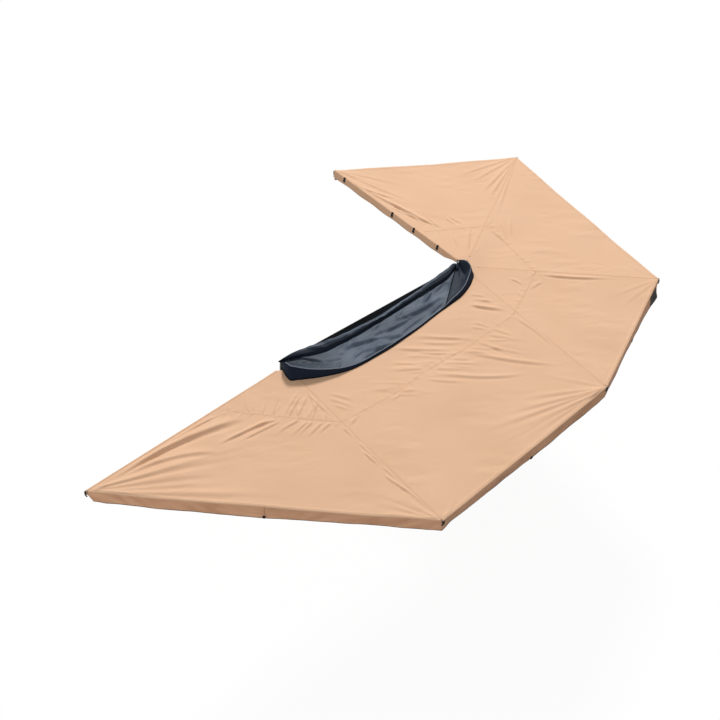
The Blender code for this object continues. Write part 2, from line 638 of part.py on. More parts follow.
def inset_corners(corners, distance):
    """Move every side of a four-cornered plan inwards by the distance."""
    moved = []
    middle = sum(corners, Vector((0.0, 0.0))) / len(corners)
    for index, corner in enumerate(corners):
        sides = []
        for start, end in ((corners[index - 1], corner), (corner, corners[(index + 1) % 4])):
            along = (end - start).normalized()
            inward = Vector((-along.y, along.x))
            if inward.dot(middle - start) < 0:
                inward = -inward
            sides.append((along, inward))
        (first, first_in), (second, second_in) = sides
        offset = first_in + second_in
        sharpness = 1.0 + first_in.dot(second_in)
        moved.append(corner + offset * distance / sharpness)
    return moved


def between_corners(values, cross, out):
    """Blend the values at a panel's corners: inner a, inner b, outer b, outer a."""
    inner = values[0] * (1 - cross) + values[1] * cross
    outer = values[3] * (1 - cross) + values[2] * cross
    return inner * (1 - out) + outer * out


def make_panel(name, inner_a, inner_b, outer_b, outer_a, heights):
    """One sewn panel with its valance: a thin sheet between two arms, from the hub to the outer edge."""
    corners = inset_corners([inner_a, inner_b, outer_b, outer_a], CANOPY_SEAM)
    shape = bmesh.new()
    rows = []
    for step in range(PANEL_DIVISIONS + 1):
        out = step / PANEL_DIVISIONS
        row = []
        for cross_step in range(PANEL_DIVISIONS + 1):
            cross = cross_step / PANEL_DIVISIONS
            plan = between_corners(corners, cross, out)
            level = between_corners(heights, cross, out)
            level -= CANOPY_SAG * 4 * cross * (1 - cross) * out
            row.append(shape.verts.new((plan.x, plan.y, level)))
        rows.append(row)
    for drop in range(1, VALANCE_ROWS + 1):
        fall = Vector((0.0, 0.0, -VALANCE_DROP * drop / VALANCE_ROWS))
        rows.append([shape.verts.new(vert.co + fall) for vert in rows[PANEL_DIVISIONS]])
    for near, far in zip(rows, rows[1:]):
        for index in range(PANEL_DIVISIONS):
            shape.faces.new((near[index], far[index], far[index + 1], near[index + 1]))
    shape.normal_update()
    shape.faces.ensure_lookup_table()
    if shape.faces[0].normal.z < 0:
        bmesh.ops.reverse_faces(shape, faces=shape.faces)
    mesh = bpy.data.meshes.new(name)
    shape.to_mesh(mesh)
    shape.free()
    panel = bpy.data.objects.new(name, mesh)
    bpy.context.scene.collection.objects.link(panel)
    solidify = panel.modifiers.new("cloth", "SOLIDIFY")
    solidify.thickness = CANOPY_THICKNESS
    solidify.offset = 1.0
    solidify.use_even_offset = True
    panel.data = evaluated_mesh(panel)
    panel.modifiers.clear()
    return panel


def out_along(line, distance):
    """A point on the line from an arm's pin to its canopy corner, this far out from the pin."""
    pin, corner = line
    return pin + distance * (corner - pin).normalized()


def track_crossing(line):
    """Where the line of an arm, carried back past its pin, crosses the canopy's edge at the rail."""
    pin, corner = line
    return pin + (corner - pin) * (CANOPY_EDGE - pin.y) / (corner.y - pin.y)


def make_canopy(lines):
    """Five panels: the middle one from the rail, the others from their arms' knuckles."""
    rear_top = REAR_ARM_LEVEL + TUBE_HEIGHT / 2 + CANOPY_LIFT
    front_top = FRONT_ARM_LEVEL + TUBE_HEIGHT / 2 + CANOPY_LIFT
    side = make_panel("side", track_crossing(lines["arm_3"]), track_crossing(lines["arm_2"]),
                      lines["arm_2"][1], lines["arm_3"][1], (TRACK_LEVEL, TRACK_LEVEL, front_top, rear_top))
    bead = circle(KEDER_RADIUS, (CANOPY_TRACK, TRACK_LEVEL))
    bead_half = HUB_SPACING / 2 - CANOPY_SEAM
    combine(side, outline_solid("bead", [bead], -bead_half, bead_half, along_x()))
    register(side, "canopy_side_panel", CANVAS)
    fans = (("canopy_front_panel", "arm_2", "arm_1", front_top),
            ("canopy_rear_corner_panel", "arm_3", "arm_4", rear_top),
            ("canopy_rear_panel", "arm_4", "arm_5", rear_top),
            ("canopy_far_panel", "arm_5", "arm_6", rear_top))
    for name, first, second, top in fans:
        starts = [out_along(lines[arm], CANOPY_APEX) for arm in (first, second)]
        levels = (TRACK_LEVEL, TRACK_LEVEL, top, top)
        panel = make_panel(name, starts[0], starts[1], lines[second][1], lines[first][1], levels)
        register(panel, name, CANVAS)


def make_cover():
    """The travel cover, thrown open over the canopy: a long shallow trough with a rim at its outer edge."""
    base = TRACK_LEVEL + TRACK_RADIUS + COVER_LIFT
    shape = bmesh.new()
    rows = []
    for along, reach_share, wall_share in COVER_STATIONS:
        reach = reach_share * COVER_REACH
        rim = max(wall_share * COVER_WALL, COVER_LEAST_RIM)
        points = [(share * reach, height) for share, height in COVER_SECTION]
        points += [(reach - COVER_WALL_LEAN, rim), (reach, 0.0)]
        x = (along - 0.5) * HUB_SPACING
        rows.append([shape.verts.new((x, COVER_TRACK + y, base + z)) for y, z in points])
    for near, far in zip(rows, rows[1:]):
        for index in range(len(near) - 1):
            shape.faces.new((near[index], far[index], far[index + 1], near[index + 1]))
    mesh = bpy.data.meshes.new("travel_cover")
    shape.to_mesh(mesh)
    shape.free()
    cover = bpy.data.objects.new("travel_cover", mesh)
    bpy.context.scene.collection.objects.link(cover)
    solidify = cover.modifiers.new("sheet", "SOLIDIFY")
    solidify.thickness = COVER_THICKNESS
    solidify.offset = 1.0
    solidify.use_even_offset = True
    register(cover, "travel_cover", PVC)


for startup_object in list(bpy.data.objects):
    bpy.data.objects.remove(startup_object)

AWNING = make_collection("side_awning")
ALUMINIUM = make_material("aluminium", (0.62, 0.63, 0.65), 0.38, 1.0)
CAST = make_material("cast_aluminium", (0.05, 0.05, 0.055), 0.5, 0.6)
STEEL_COATED = make_material("coated_steel", (0.03, 0.03, 0.032), 0.55, 0.3)
ZINC = make_material("zinc_plated", (0.55, 0.56, 0.58), 0.35, 1.0)
BUSHING = make_material("bush_polymer", (0.12, 0.11, 0.10), 0.5, 0.0)
POLYMER = make_material("moulded_nylon", (0.02, 0.02, 0.022), 0.55, 0.0)
CANVAS = make_material("canopy_canvas", (0.78, 0.52, 0.36), 0.85, 0.0)
PVC = make_material("cover_pvc", (0.09, 0.11, 0.14), 0.45, 0.0)

make_rail()
make_end_caps()
for bracket_name, bracket_place in (("rear_bracket", -BRACKET_SPACING), ("middle_bracket", 0.0),
                                    ("front_bracket", BRACKET_SPACING)):
    make_bracket(bracket_name, bracket_place)
    for level_name, slot_height in (("lower", LOWER_SLOT_HEIGHT), ("upper", UPPER_SLOT_HEIGHT)):
        make_bracket_bolt(f"{bracket_name}_{level_name}_bolt", bracket_place, RAIL_BOTTOM + slot_height)
make_hub_bracket("rear_hub_bracket", 1, REAR_ARM_LEVEL)
make_hub_bracket("front_hub_bracket", -1, FRONT_ARM_LEVEL)
for hub_name, hub_direction in (("rear_hub", 1), ("front_hub", -1)):
    bolt_names = (f"{hub_name}_inner_bolt", f"{hub_name}_outer_bolt")
    for bolt_name, (bolt_place, bolt_height) in zip(bolt_names, hub_bolt_places(hub_direction)):
        make_hub_bolt(bolt_name, bolt_place, bolt_height)
arm_lines = make_arm_chain(REAR_ARMS, 1, REAR_ARM_LEVEL)
arm_lines.update(make_arm_chain(FRONT_ARMS, -1, FRONT_ARM_LEVEL))
make_canopy(arm_lines)
make_cover()
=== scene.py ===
"""Visual model of a free-standing side awning, dressed over its CAD frame.

+X points to the vehicle's front, +Y away from the vehicle, +Z up, in metres. The awning is open.
"""
import json
import math

import bpy
import numpy as np
from mathutils import Matrix, Vector
from mathutils.bvhtree import BVHTree


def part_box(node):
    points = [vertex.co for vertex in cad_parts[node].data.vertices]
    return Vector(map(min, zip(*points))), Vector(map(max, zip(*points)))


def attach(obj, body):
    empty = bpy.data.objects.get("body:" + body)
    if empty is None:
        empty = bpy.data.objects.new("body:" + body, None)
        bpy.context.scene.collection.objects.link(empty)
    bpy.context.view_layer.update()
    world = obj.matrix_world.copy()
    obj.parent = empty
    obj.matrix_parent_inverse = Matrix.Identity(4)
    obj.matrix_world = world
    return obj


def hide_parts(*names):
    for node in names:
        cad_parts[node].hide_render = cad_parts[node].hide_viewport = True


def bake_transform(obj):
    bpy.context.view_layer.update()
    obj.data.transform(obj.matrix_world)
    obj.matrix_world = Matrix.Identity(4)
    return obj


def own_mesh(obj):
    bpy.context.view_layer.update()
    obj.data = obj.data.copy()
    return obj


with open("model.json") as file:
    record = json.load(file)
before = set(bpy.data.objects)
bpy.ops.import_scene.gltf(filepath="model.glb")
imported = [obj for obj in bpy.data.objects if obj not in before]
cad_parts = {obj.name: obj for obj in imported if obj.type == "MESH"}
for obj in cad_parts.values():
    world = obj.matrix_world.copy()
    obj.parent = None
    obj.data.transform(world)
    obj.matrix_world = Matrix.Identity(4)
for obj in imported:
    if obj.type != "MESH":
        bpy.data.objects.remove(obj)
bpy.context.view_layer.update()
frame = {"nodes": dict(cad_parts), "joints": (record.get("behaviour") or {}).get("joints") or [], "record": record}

SEED = 7

# Camera, fitted to the canopy's corners
IMAGE_SIZE = 720
FOCAL_PIXELS = 1232.3
SENSOR = 36.0
CAMERA_PLACE = np.array((6.1021, 6.4943, 8.7739))
CAMERA_RIGHT = np.array((-0.76861, 0.63787, 0.04856))
CAMERA_DOWN = np.array((0.43873, 0.58086, -0.68565))
CAMERA_LOOK = np.array((-0.46556, -0.50569, -0.72631))
NEAR_SIDE = np.array((0.603, 0.798))    # plan direction that runs down the photograph

# Floor, lamps and world
FLOOR_LEVEL = -2.0
FLOOR_HALF = 60.0
FLOOR_SHADE = (0.35, 0.35, 0.35, 1.0)   # for the light that the floor throws back
FLOOR_GLOW = 0.94                       # share of the floor that shows white, so that a soft shadow stays
WORLD_STRENGTH = 0.40
WHITE = (1.0, 1.0, 1.0, 1.0)
# Place, target, size and power of each lamp
LAMPS = {"key": ((-28.4, -30.6, 36.2), (0.3, 0.5, 0.0), 10.0, 26500.0),
         "fill": ((26.0, 6.0, 6.0), (1.0, 0.5, 0.0), 8.0, 1500.0)}

# Canopy
ARMS = ("arm_1", "arm_2", "arm_3", "arm_4", "arm_5", "arm_6")
FANS = (("front", "arm_2", "arm_1"), ("rear_corner", "arm_3", "arm_4"),
        ("rear", "arm_4", "arm_5"), ("far", "arm_5", "arm_6"))
PANELS = (("side", "arm_3", "arm_2"),) + FANS
CLOTH_THICKNESS = 0.0012
CLOTH_LIFT = 0.0005            # of the cloth above an arm's top face at its tip
CORNER_OVERHANG = 0.008
SAG = 0.012
APEX = 0.050                   # the fan panels start this far out from their arms' pins
SEAM_GAP = 0.0004
TRACK_LEVEL = 0.107            # centres of the rail's two keder tracks
CANOPY_TRACK = 0.0473
COVER_TRACK = 0.0348
CANOPY_EDGE = 0.0498
KEDER_RADIUS = 0.0039
KEDER_HALF = 1.16
GRID = 0.012                   # spacing of the cloth's points
EDGE_ROUND = 0.012             # radius of the turn from panel to valance
EDGE_TURNS = (22.5, 45.0, 67.5, 90.0)
EDGE_ZONE = 0.08               # width of the finer rows at the outer edge, and their number
EDGE_ROWS = 14
# Height of the soft roll just inside the outer edge, its distance from the edge, and its width
EDGE_ROLL, ROLL_PLACE, ROLL_WIDTH = 0.0030, 0.016, 0.011

# Valances
VALANCE_DROP = 0.144
VALANCE_ROWS = 15
VALANCE_HELD = 0.14            # a valance hangs straight at a corner, and freely this far from it
VALANCE_CUT = 0.055            # how much shorter the valance is along its foot at a free end
CUT_REACH = 0.5
# How far the foot of each valance stands out from its top, at five places from its first arm to its second
VALANCE_FLARE = {"front": (0.0, -0.004, 0.022, 0.036, 0.014), "side": (0.004, 0.004, 0.002, -0.012, -0.014),
                 "rear_corner": (0.0, 0.004, 0.002, 0.016, 0.055), "rear": (0.0, -0.006, 0.008, -0.004, 0.0),
                 "far": (0.0, 0.006, -0.008, 0.004, 0.0)}
FLARE_BLUR = np.hanning(25) / np.hanning(25).sum()
# How far the foot of the front valance is drawn up, and the shares of the way along it
VALANCE_LIFT = (0.0, 0.0, 0.016, 0.038, 0.032, 0.012)
LIFT_PLACES = (0.0, 0.25, 0.5, 0.75, 0.92, 1.0)
WAVE_LEAN = 1.3                # how far a valance's waves shift between its top and its foot, in radians
CREASE_SPACING = 0.075

# Trims
RING_WIDTH = 0.013
HIP_WIDTH, HIP_START, HIP_END = 0.014, 0.12, 0.020   # of a hip's strip; its ends from pin and tip
STRIP_LIFT = 0.0004
STRIP_CROWN = 0.0005
STRIP_SPACING = 0.02
STRIP_SHARES = (-0.5, -0.42, -0.2, 0.0, 0.2, 0.42, 0.5)
FOOT_RADIUS = 0.0030           # of the binding along a valance's foot
PATCH_REACH = (0.305, 0.115)   # of the bare dark patch, from the rearmost corner along the valance
TAB_SHIFT = {"side": -0.055}   # how far a mid-edge tab is from the middle, towards the panel's second arm
TAB_SHARES = (-0.5, -0.25, 0.0, 0.25, 0.5)
TIP_TAB_WIDTH, TIP_TAB_DROP = 0.030, 0.062
EDGE_TAB_WIDTH, EDGE_TAB_HEIGHT, EDGE_TAB_GAP = 0.024, 0.034, 0.004
# The free edges' sleeves: where they start and end on their arm, and how far aside and down the cloth goes
SLEEVE_START, SLEEVE_END, SLEEVE_STEP = 0.062, 0.006, 0.02
SLEEVE_DROP = 0.085
SLEEVE_SECTION = ((-0.0035, 0.0), (0.000, 0.0), (0.004, 0.0), (0.008, 0.0005), (0.012, 0.002),
                  (0.0165, 0.009), (0.0185, 0.022), (0.020, 0.040), (0.0215, 0.062), (0.022, SLEEVE_DROP))
SLEEVE_LIFT, SLEEVE_LAP = 0.0016, 0.0006    # over the arm's line, and over the canopy that it laps onto
SLEEVE_SWAY, SLEEVE_SWAY_RATE = 0.004, 17   # how far its foot sways, and how fast along the arm
SLEEVE_HUB_SHARE = 0.35        # of its drop that a sleeve has beside the hub
STRAP_WIDTH = 0.026
STRAP_SECTION = ((0.004, -0.0030), (0.010, -0.0026), (0.0160, 0.0010), (0.0205, 0.0090), (0.0235, 0.0220),
                 (0.0260, 0.0380), (0.0270, 0.0520), (0.0235, 0.0540))
STRAP_PIXELS = ((394.5, 211.5), (415.5, 227.5), (438.0, 245.5), (343.0, 178.5))

# Places in the photograph, in its pixels: the ring seam crosses each arm at a node
RING_NODES = {"arm_1": (228.0, 410.0), "arm_2": (341.5, 421.0), "arm_3": (513.0, 315.0),
              "arm_4": (535.7, 272.7), "arm_5": (489.0, 225.7), "arm_6": (424.5, 231.5)}
RING_SIDE = ((394.0, 393.0), (419.0, 374.5), (465.0, 348.0))
SIDE_SEAM = np.array((*RING_SIDE, RING_NODES["arm_3"]))
FRONT_SEAM = ((228, 342), (411, 421))

# Profile of a fold, in its own widths: steep and gentle side, then its trough's depth, place and width
FOLD_STEEP, FOLD_GENTLE = 0.75, 1.5
TROUGH_DEPTH, TROUGH_PLACE, TROUGH_WIDTH = 0.35, 1.6, 0.8
CORNER_START = 0.03            # from a canopy corner to the start of its folds
CORNER_WIDTH = 0.012
# Folds that leave each canopy corner: their height, end width and fall, then each one's far end in pixels and
# its strength
CORNER_FOLDS = {
    "arm_1": (0.008, 0.04, 0.35, (222, 452, 1.1), (232, 468, 1.1), (236, 479, 0.7), (256, 490, 0.6),
              (292, 428, 0.4), (264, 446, 0.5), (222, 414, 0.5), (246, 460, 0.4), (300, 492, 0.5)),
    "arm_2": (0.006, 0.026, 0.6, (374, 488, 1.0), (371, 498, 0.8), (388, 489, 0.9), (401, 483, 0.7),
              (345, 505, 0.5), (458, 492, 0.5), (428, 478, 0.4)),
    "arm_3": (0.007, 0.03, 0.6, (487, 414, 1.3), (507, 398, 1.0), (466, 434, 1.2), (487, 438, 0.7),
              (480, 452, 0.6), (512, 444, 0.7), (530, 372, 0.5), (588, 369, 0.5), (592, 360, 0.5)),
    "arm_4": (0.005, 0.024, 0.6, (600, 300, 0.6), (612, 312, 0.6), (622, 262, 0.4)),
    "arm_5": (0.0085, 0.022, 0.35, (480, 194, 1.0), (487, 201, 1.1), (470, 182, 0.7), (455, 176, 0.6),
              (528, 190, 0.4), (497, 215, 0.8)),
    "arm_6": (0.006, 0.03, 0.6, (400, 192, 0.8), (415, 186, 0.7), (424, 206, 1.0))}
# Folds as x and y of three pixels each
STRONG_FOLDS = (
    (426, 372, 465, 376, 533, 372), (461, 350.5, 500, 358, 564, 365), (467, 304.5, 488, 308.5, 509, 310.5),
    (513, 317, 533, 329, 556, 349), (536, 274, 570, 277.5, 615, 277.5), (391, 347.5, 423, 349.5, 457, 349),
    (355, 184, 392, 204, 433, 224), (344, 180, 367, 190, 402, 200), (387, 200, 407, 213, 427, 226),
    (402, 209, 420, 218.5, 438, 227), (468, 230, 468.5, 243, 469, 256), (478, 248, 475.5, 254, 473, 261))
PLAIN_FOLDS = (
    (440, 364, 458, 366, 478, 366.5), (423, 378, 441, 380.5, 470, 381), (407, 337.5, 440, 338, 472, 338.5),
    (415, 351, 431, 353, 449, 353), (416, 342, 442, 343.5, 468, 343), (471, 323, 482, 325, 492, 328.5),
    (470, 327, 480, 328.5, 488, 329.5), (487, 335, 502, 337, 519, 339.5), (490, 328, 502, 332, 515, 336),
    (468, 295, 478, 296, 488, 298), (471, 299, 482, 301, 495, 302.5), (400, 389.5, 408, 390, 417, 389.5),
    (484, 345, 505, 350, 530, 354), (395, 366, 412, 367, 432, 366), (288, 417, 295, 404, 303, 391),
    (297, 417, 303, 404, 308, 394), (306, 392, 320, 405, 336, 419), (327, 393, 340, 396, 356, 400),
    (326, 398, 341, 402, 357, 408), (333, 404, 342, 407, 352, 410), (386, 205, 418, 219, 441, 227),
    (445, 217, 450, 221, 455, 225), (409, 335, 440, 337, 471, 338), (403, 355.5, 422, 356, 441, 356.5),
    (389, 362.5, 406, 363, 423, 364), (475, 341, 493, 347, 512, 355), (463, 350, 475, 351.5, 496, 355),
    (466, 305, 487, 308, 507, 309.5), (480, 300.5, 486, 301, 492, 302),
    (450, 358.5, 461, 358.5, 472, 358.5), (489, 229, 498, 236, 507, 244), (499, 218, 503, 229, 507, 241),
    (509, 219, 511, 229, 512, 237), (453.5, 234, 456.5, 244, 459.5, 254), (448, 216, 456, 220.5, 465, 225),
    (509, 279, 516, 281, 524, 286), (530, 290, 536, 285, 544, 281), (427, 217, 434, 223, 441, 229),
    (308, 388, 313, 402, 319, 420), (300, 390, 291, 403, 282, 418))
# Gathers that run into the ring seam from outside
SEAM_GATHERS = (
    (272, 436, 284, 427, 299, 419.5), (287, 437, 297, 429, 308, 420.5), (297, 434, 304, 428, 313, 421),
    (304, 438, 313, 430, 322, 421.5), (316, 434, 323, 428, 331, 422), (251, 428, 262, 423, 276, 419),
    (345, 428, 350, 424, 357, 416), (386, 399, 393, 398, 401, 392))
# Small wavy pleats beside the hip between the front and the side panel
HIP_PLEATS = (
    (343, 426, 348, 431, 353, 436), (358, 440, 366, 448, 375, 456), (363, 449, 371, 457, 380, 464),
    (372, 453, 379, 459, 385, 465), (382, 464, 390, 471, 398, 478), (392, 478, 402, 485, 411, 491),
    (399, 483, 414, 493, 429, 507), (386, 473, 391, 478, 396, 482))
# Height and width of each kind, then its end width and its shares of rise and fall where they differ
FOLD_KINDS = ((STRONG_FOLDS, (0.0110, 0.017)), (PLAIN_FOLDS, (0.0066, 0.014)),
              (SEAM_GATHERS, (0.0075, 0.016, 0.011, 0.7, 0.12)), (HIP_PLEATS, (0.0085, 0.012)))
# Deep folds that sweep from the front corner along the free edge, with height, and width at both ends
EDGE_SWEEPS = (
    (110, 478, 162, 448, 249, 415, 0.023, 0.014, 0.036),
    (120, 475, 172, 455.5, 224, 449, 0.012, 0.014, 0.03),
    (160, 448, 190, 428.5, 222, 413, 0.009, 0.01, 0.012),
    (216, 443, 245, 430, 273, 417.5, 0.013, 0.014, 0.016),
    (236, 441, 260, 430, 283, 418.5, 0.008, 0.012, 0.012))
# Spacing, length, height and width of the gathers across the ring seam and across the hips
RING_PUCKERS = (0.085, 0.12, 0.0036, 0.014)
HIP_PUCKERS = (0.11, 0.11, 0.0028, 0.013)
PUCKER_START, PUCKER_END = 0.45, 0.3   # of the hips' gathers, from the arm's pin and from its tip
# Number, length, height and width of the folds round each place where the ring seam crosses an arm
NODE_FOLDS = (7, 0.17, 0.0030, 0.014)
# Ripples of the whole cloth: number, shortest, longest, height and, for the crumples, directions
BILLOWS = (14, 0.45, 1.3, 0.0020)
PATCHES = (9, 0.5, 1.1, 0.45)
CRUMPLES = (34, 0.05, 0.20, 0.00030, (0.55, 1.30))
# Where the folds lie flat: over an arm, beside it, and round a hub
ARM_HALF_WIDTH, ARM_CLEAR, BILLOW_CLEAR = 0.012, 0.05, 0.35
ARM_SHARE = 0.35               # of a fold's rise that stays over an arm
HUB_FLAT, HUB_CLEAR = 0.10, 0.25

# Travel cover, from its rear end round to its front end. Each row has x of the hinge point, the pixels of the
# crest, the valley, the flap's middle, the rim and the outer edge, and the heights of the first four
COVER_BASE = 0.104
COVER_LEVEL = 0.1143
COVER_THICKNESS = 0.0022
COVER_ROWS = (
    (-1.165, 457.5, 259.5, 458.2, 262.5, 458.6, 263.5, 459.5, 259.5, 460.5, 265.5, 0.04, 0.02, 0.02, 0.06),
    (-1.16, 457.5, 261, 458.5, 266, 460.5, 268.5, 464.5, 260.3, 465.5, 267.5, 0.042, 0.012, 0.01, 0.098),
    (-1.155, 457.3, 262, 458.6, 268, 463, 271.5, 469, 263.3, 470.5, 270.5, 0.044, 0.01, 0.008, 0.104),
    (-1.15, 457, 263, 458.4, 269.5, 463.5, 275, 470.8, 268.5, 473.4, 275, 0.046, 0.01, 0.008, 0.088),
    (-1.145, 456.7, 263.5, 458, 270.5, 462, 279, 468.6, 276.5, 471.6, 282, 0.046, 0.01, 0.01, 0.068),
    (-1.14, 456.4, 264, 457.6, 271, 460.5, 282.5, 464.9, 285.2, 468, 288.5, 0.046, 0.01, 0.012, 0.055),
    (-1.13, 456, 264, 457, 271, 457.8, 285, 459.2, 292.4, 461.5, 296, 0.046, 0.01, 0.012, 0.044),
    (-1.115, 455.5, 264, 456, 270.5, 453.5, 286.5, 451.5, 299.5, 453.3, 302.5, 0.046, 0.008, 0.008, 0.032),
    (-1.095, 454.8, 263.5, 455.6, 269, 450.5, 288.5, 446, 305, 447, 307.2, 0.048, 0.008, 0.004, 0.024),
    (-1.05, 452, 264.5, 453.5, 271.5, 446.5, 290, 440, 309.8, 440.5, 311.8, 0.05, 0.008, 0.012, 0.02),
    (-0.9, 443, 271.5, 446.5, 280, 438, 296.5, 430, 317.5, 430.5, 319.5, 0.052, 0.008, 0.014, 0.016),
    (-0.64, 425, 285, 429, 291, 424, 306.5, 418, 326.8, 418.5, 328.8, 0.052, 0.008, 0.014, 0.014),
    (-0.39, 409, 297.3, 411, 302, 408.5, 318, 404, 336.2, 404.5, 338.4, 0.052, 0.008, 0.014, 0.012),
    (-0.16, 393.5, 308.5, 396.5, 311.3, 394, 327, 390.5, 345, 391, 347.3, 0.052, 0.008, 0.014, 0.012),
    (0.06, 378.5, 318.6, 382, 320, 381, 335.5, 377, 353, 377.5, 355.3, 0.052, 0.008, 0.014, 0.012),
    (0.27, 361, 326.8, 364.5, 331, 367, 343.5, 364, 360.5, 364.5, 362.8, 0.052, 0.008, 0.014, 0.016),
    (0.45, 346, 333.5, 349, 340, 353.5, 350.5, 352, 365.3, 352.5, 368.8, 0.054, 0.008, 0.014, 0.026),
    (0.6, 334, 338.2, 337, 346, 341.5, 356, 340.5, 368, 340.5, 372.9, 0.056, 0.008, 0.014, 0.045),
    (0.74, 322, 342, 326, 351.5, 330, 360, 329.5, 369, 329.5, 375.4, 0.058, 0.008, 0.014, 0.062),
    (0.87, 310, 346, 314.5, 355, 318, 362.5, 318, 369.3, 318, 377.4, 0.06, 0.008, 0.014, 0.08),
    (0.98, 300, 349.8, 304, 357.5, 306.5, 363, 306.5, 368.6, 306.5, 378.8, 0.06, 0.008, 0.014, 0.1),
    (1.06, 291.5, 353.5, 295, 359, 297, 362.8, 297.5, 367.2, 297.5, 379.8, 0.058, 0.008, 0.014, 0.112),
    (1.11, 285.5, 356.8, 288.5, 360.2, 289.5, 362.5, 290.2, 365.7, 290.6, 380.3, 0.054, 0.008, 0.016, 0.12),
    (1.14, 281.5, 359.3, 284, 361, 285, 362.2, 286.5, 363, 286, 376, 0.05, 0.01, 0.02, 0.118),
    (1.16, 278, 361.5, 280, 362.3, 281.5, 362.8, 283.5, 362.2, 282, 368.5, 0.044, 0.012, 0.03, 0.1))
COVER_COLUMNS = 300
# Shares of the way from the hinge to the rim, and where the cross-section's control points stand on it
COVER_SHARES = (
    0.0, 0.02, 0.04, 0.06, 0.08, 0.1, 0.12, 0.14, 0.16, 0.175, 0.19, 0.205, 0.22, 0.235, 0.25, 0.265, 0.275,
    0.285, 0.295, 0.305, 0.315, 0.325, 0.335, 0.345, 0.36, 0.38, 0.4, 0.43, 0.46, 0.49, 0.52, 0.55, 0.58,
    0.61, 0.64, 0.67, 0.7, 0.73, 0.76, 0.79, 0.82, 0.85, 0.88, 0.91, 0.94, 0.97, 1.0)
COVER_KNOTS = np.array((0.0, 0.09, 0.19, 0.265, 0.305, 0.345, 0.62, 1.0))
CREST_SHARE, LIP_SHARE = 0.19, 0.36
CREST_RIPPLES = ((0.004, 41, 1.0), (0.003, 97, 0.0), (0.002, 173, 2.0))
CREST_SHOULDER = 0.80          # height of the crest's shoulder, as a share of the crest's
CREST_TOE = 0.2
LIP_RISE = 0.014               # height of the flap's lip over the valley
COVER_CLEARANCE = 0.0045       # of the cover's inside over the canopy
EDGE_CLEARANCE = 0.003         # of its outer edge
HINGE_SHADE_ROWS = 6                   # rows of black hem between the hinge and the crest: painted shade, where shade falls beside the rail
END_SEAM_PIXEL = (447.0, 307.2)   # where the seam of the rear end panel meets the outer edge
PIPING_RADIUS, BINDING_RADIUS, CREST_RADIUS = 0.0045, 0.0042, 0.0024
WALL_SHARES = (0.04, 0.10, 0.20, 0.35, 0.50, 0.65, 0.80, 0.90, 1.0)
WALL_BULGE, WALL_RIPPLE, WALL_RIPPLE_RATE = 0.012, 0.0025, 150
SMALL_CREASES = 46
# Creases of the flap as three pixels, height and width
COVER_CREASES = (
    (349, 349, 366, 342.5, 383, 338, 0.0225, 0.0208), (360, 353, 378, 349, 396, 343, 0.01875, 0.0208),
    (384, 338.5, 393, 338, 404, 335, 0.01875, 0.016), (388, 325, 416, 313, 445, 297, 0.0225, 0.0192),
    (383, 333.5, 397, 327, 411, 319, 0.02, 0.0192), (361, 360.5, 376, 352, 389, 344, 0.01375, 0.0144),
    (420, 306, 426, 301, 431, 292, 0.01625, 0.0144), (428, 317, 437, 309, 445, 302, 0.015, 0.0144),
    (399, 336, 413, 325, 428, 315, 0.0125, 0.0128), (369, 340, 377, 335, 387, 331, 0.0125, 0.0144),
    (415, 299, 424, 295, 434, 287, 0.0125, 0.0144), (343, 352, 352, 347, 362, 343, 0.0125, 0.0144),
    (296, 359, 310, 361, 326, 363, 0.0125, 0.0144), (306, 353, 318, 352, 332, 350, 0.01375, 0.016),
    (322, 364, 333, 362, 346, 358, 0.0125, 0.0144), (462, 273, 463, 279, 461, 284, 0.01, 0.0112),
    (352, 361, 359, 355, 369, 350, 0.01125, 0.0112), (404, 322, 422, 312, 440, 303, 0.0125, 0.0128))

# Materials
# Navy of the painted shade towards the cover's ends and along its valley
PAINTED_SHADE_NAVY = (24, 31, 42)
THREAD = 0.0012
WAVE_PERIOD = 1 / 3.2          # of the wave texture at scale 1
THREAD_NOISE = 420.0
DRIFT_NOISE = 1.7
CREASE_NOISE = 30.0
GRAIN_SHARE = 25               # how much finer a solid's grain is than its drift of colour
GLOSS_DRIFT = 0.06
# Two colours, roughness, metallic, scale of the drift, height of the grain, and stretch
SOLID_FINISHES = {
    "anodised_aluminium": ((168, 170, 174), (188, 190, 194), 0.46, 0.6, 30.0, 0.00001, (0.04, 1, 1)),
    "cast_aluminium": ((30, 30, 32), (44, 44, 46), 0.52, 0.3, 60.0, 0.0003),
    "coated_steel": ((26, 26, 28), (38, 38, 40), 0.55, 0.2, 80.0, 0.0002),
    "zinc_plated": ((164, 164, 160), (196, 195, 188), 0.40, 0.9, 90.0, 0.00002),
    "bush_polymer": ((80, 76, 70), (94, 90, 84), 0.5, 0.0, 70.0, 0.0001),
    "moulded_nylon": ((24, 24, 26), (34, 34, 36), 0.5, 0.0, 120.0, 0.0002)}


# Plan geometry
def smooth(share):
    """Ease from 0 to 1, level at both ends."""
    share = np.clip(share, 0.0, 1.0)
    return share * share * (3.0 - 2.0 * share)


def unit(vector):
    return vector / np.maximum(np.linalg.norm(vector, axis=-1, keepdims=True), 1e-12)


def left_of(ahead):
    """The plan direction a quarter turn to the left."""
    return np.stack([-ahead[..., 1], ahead[..., 0]], axis=-1)


def towards(angle):
    return np.array((math.cos(angle), math.sin(angle)))


def cross2(a, b):
    return a[..., 0] * b[..., 1] - a[..., 1] * b[..., 0]


def with_level(plan, level):
    """Points in plan, with a level each."""
    return np.concatenate([plan, level[..., None]], axis=-1)


def on_plane(pixel, level):
    """The point at that level which the photograph shows at the pixel."""
    across, below = (np.array(pixel) - IMAGE_SIZE / 2) / FOCAL_PIXELS
    ray = CAMERA_LOOK + across * CAMERA_RIGHT + below * CAMERA_DOWN
    return (CAMERA_PLACE + ray * (level - CAMERA_PLACE[2]) / ray[2])[:2]


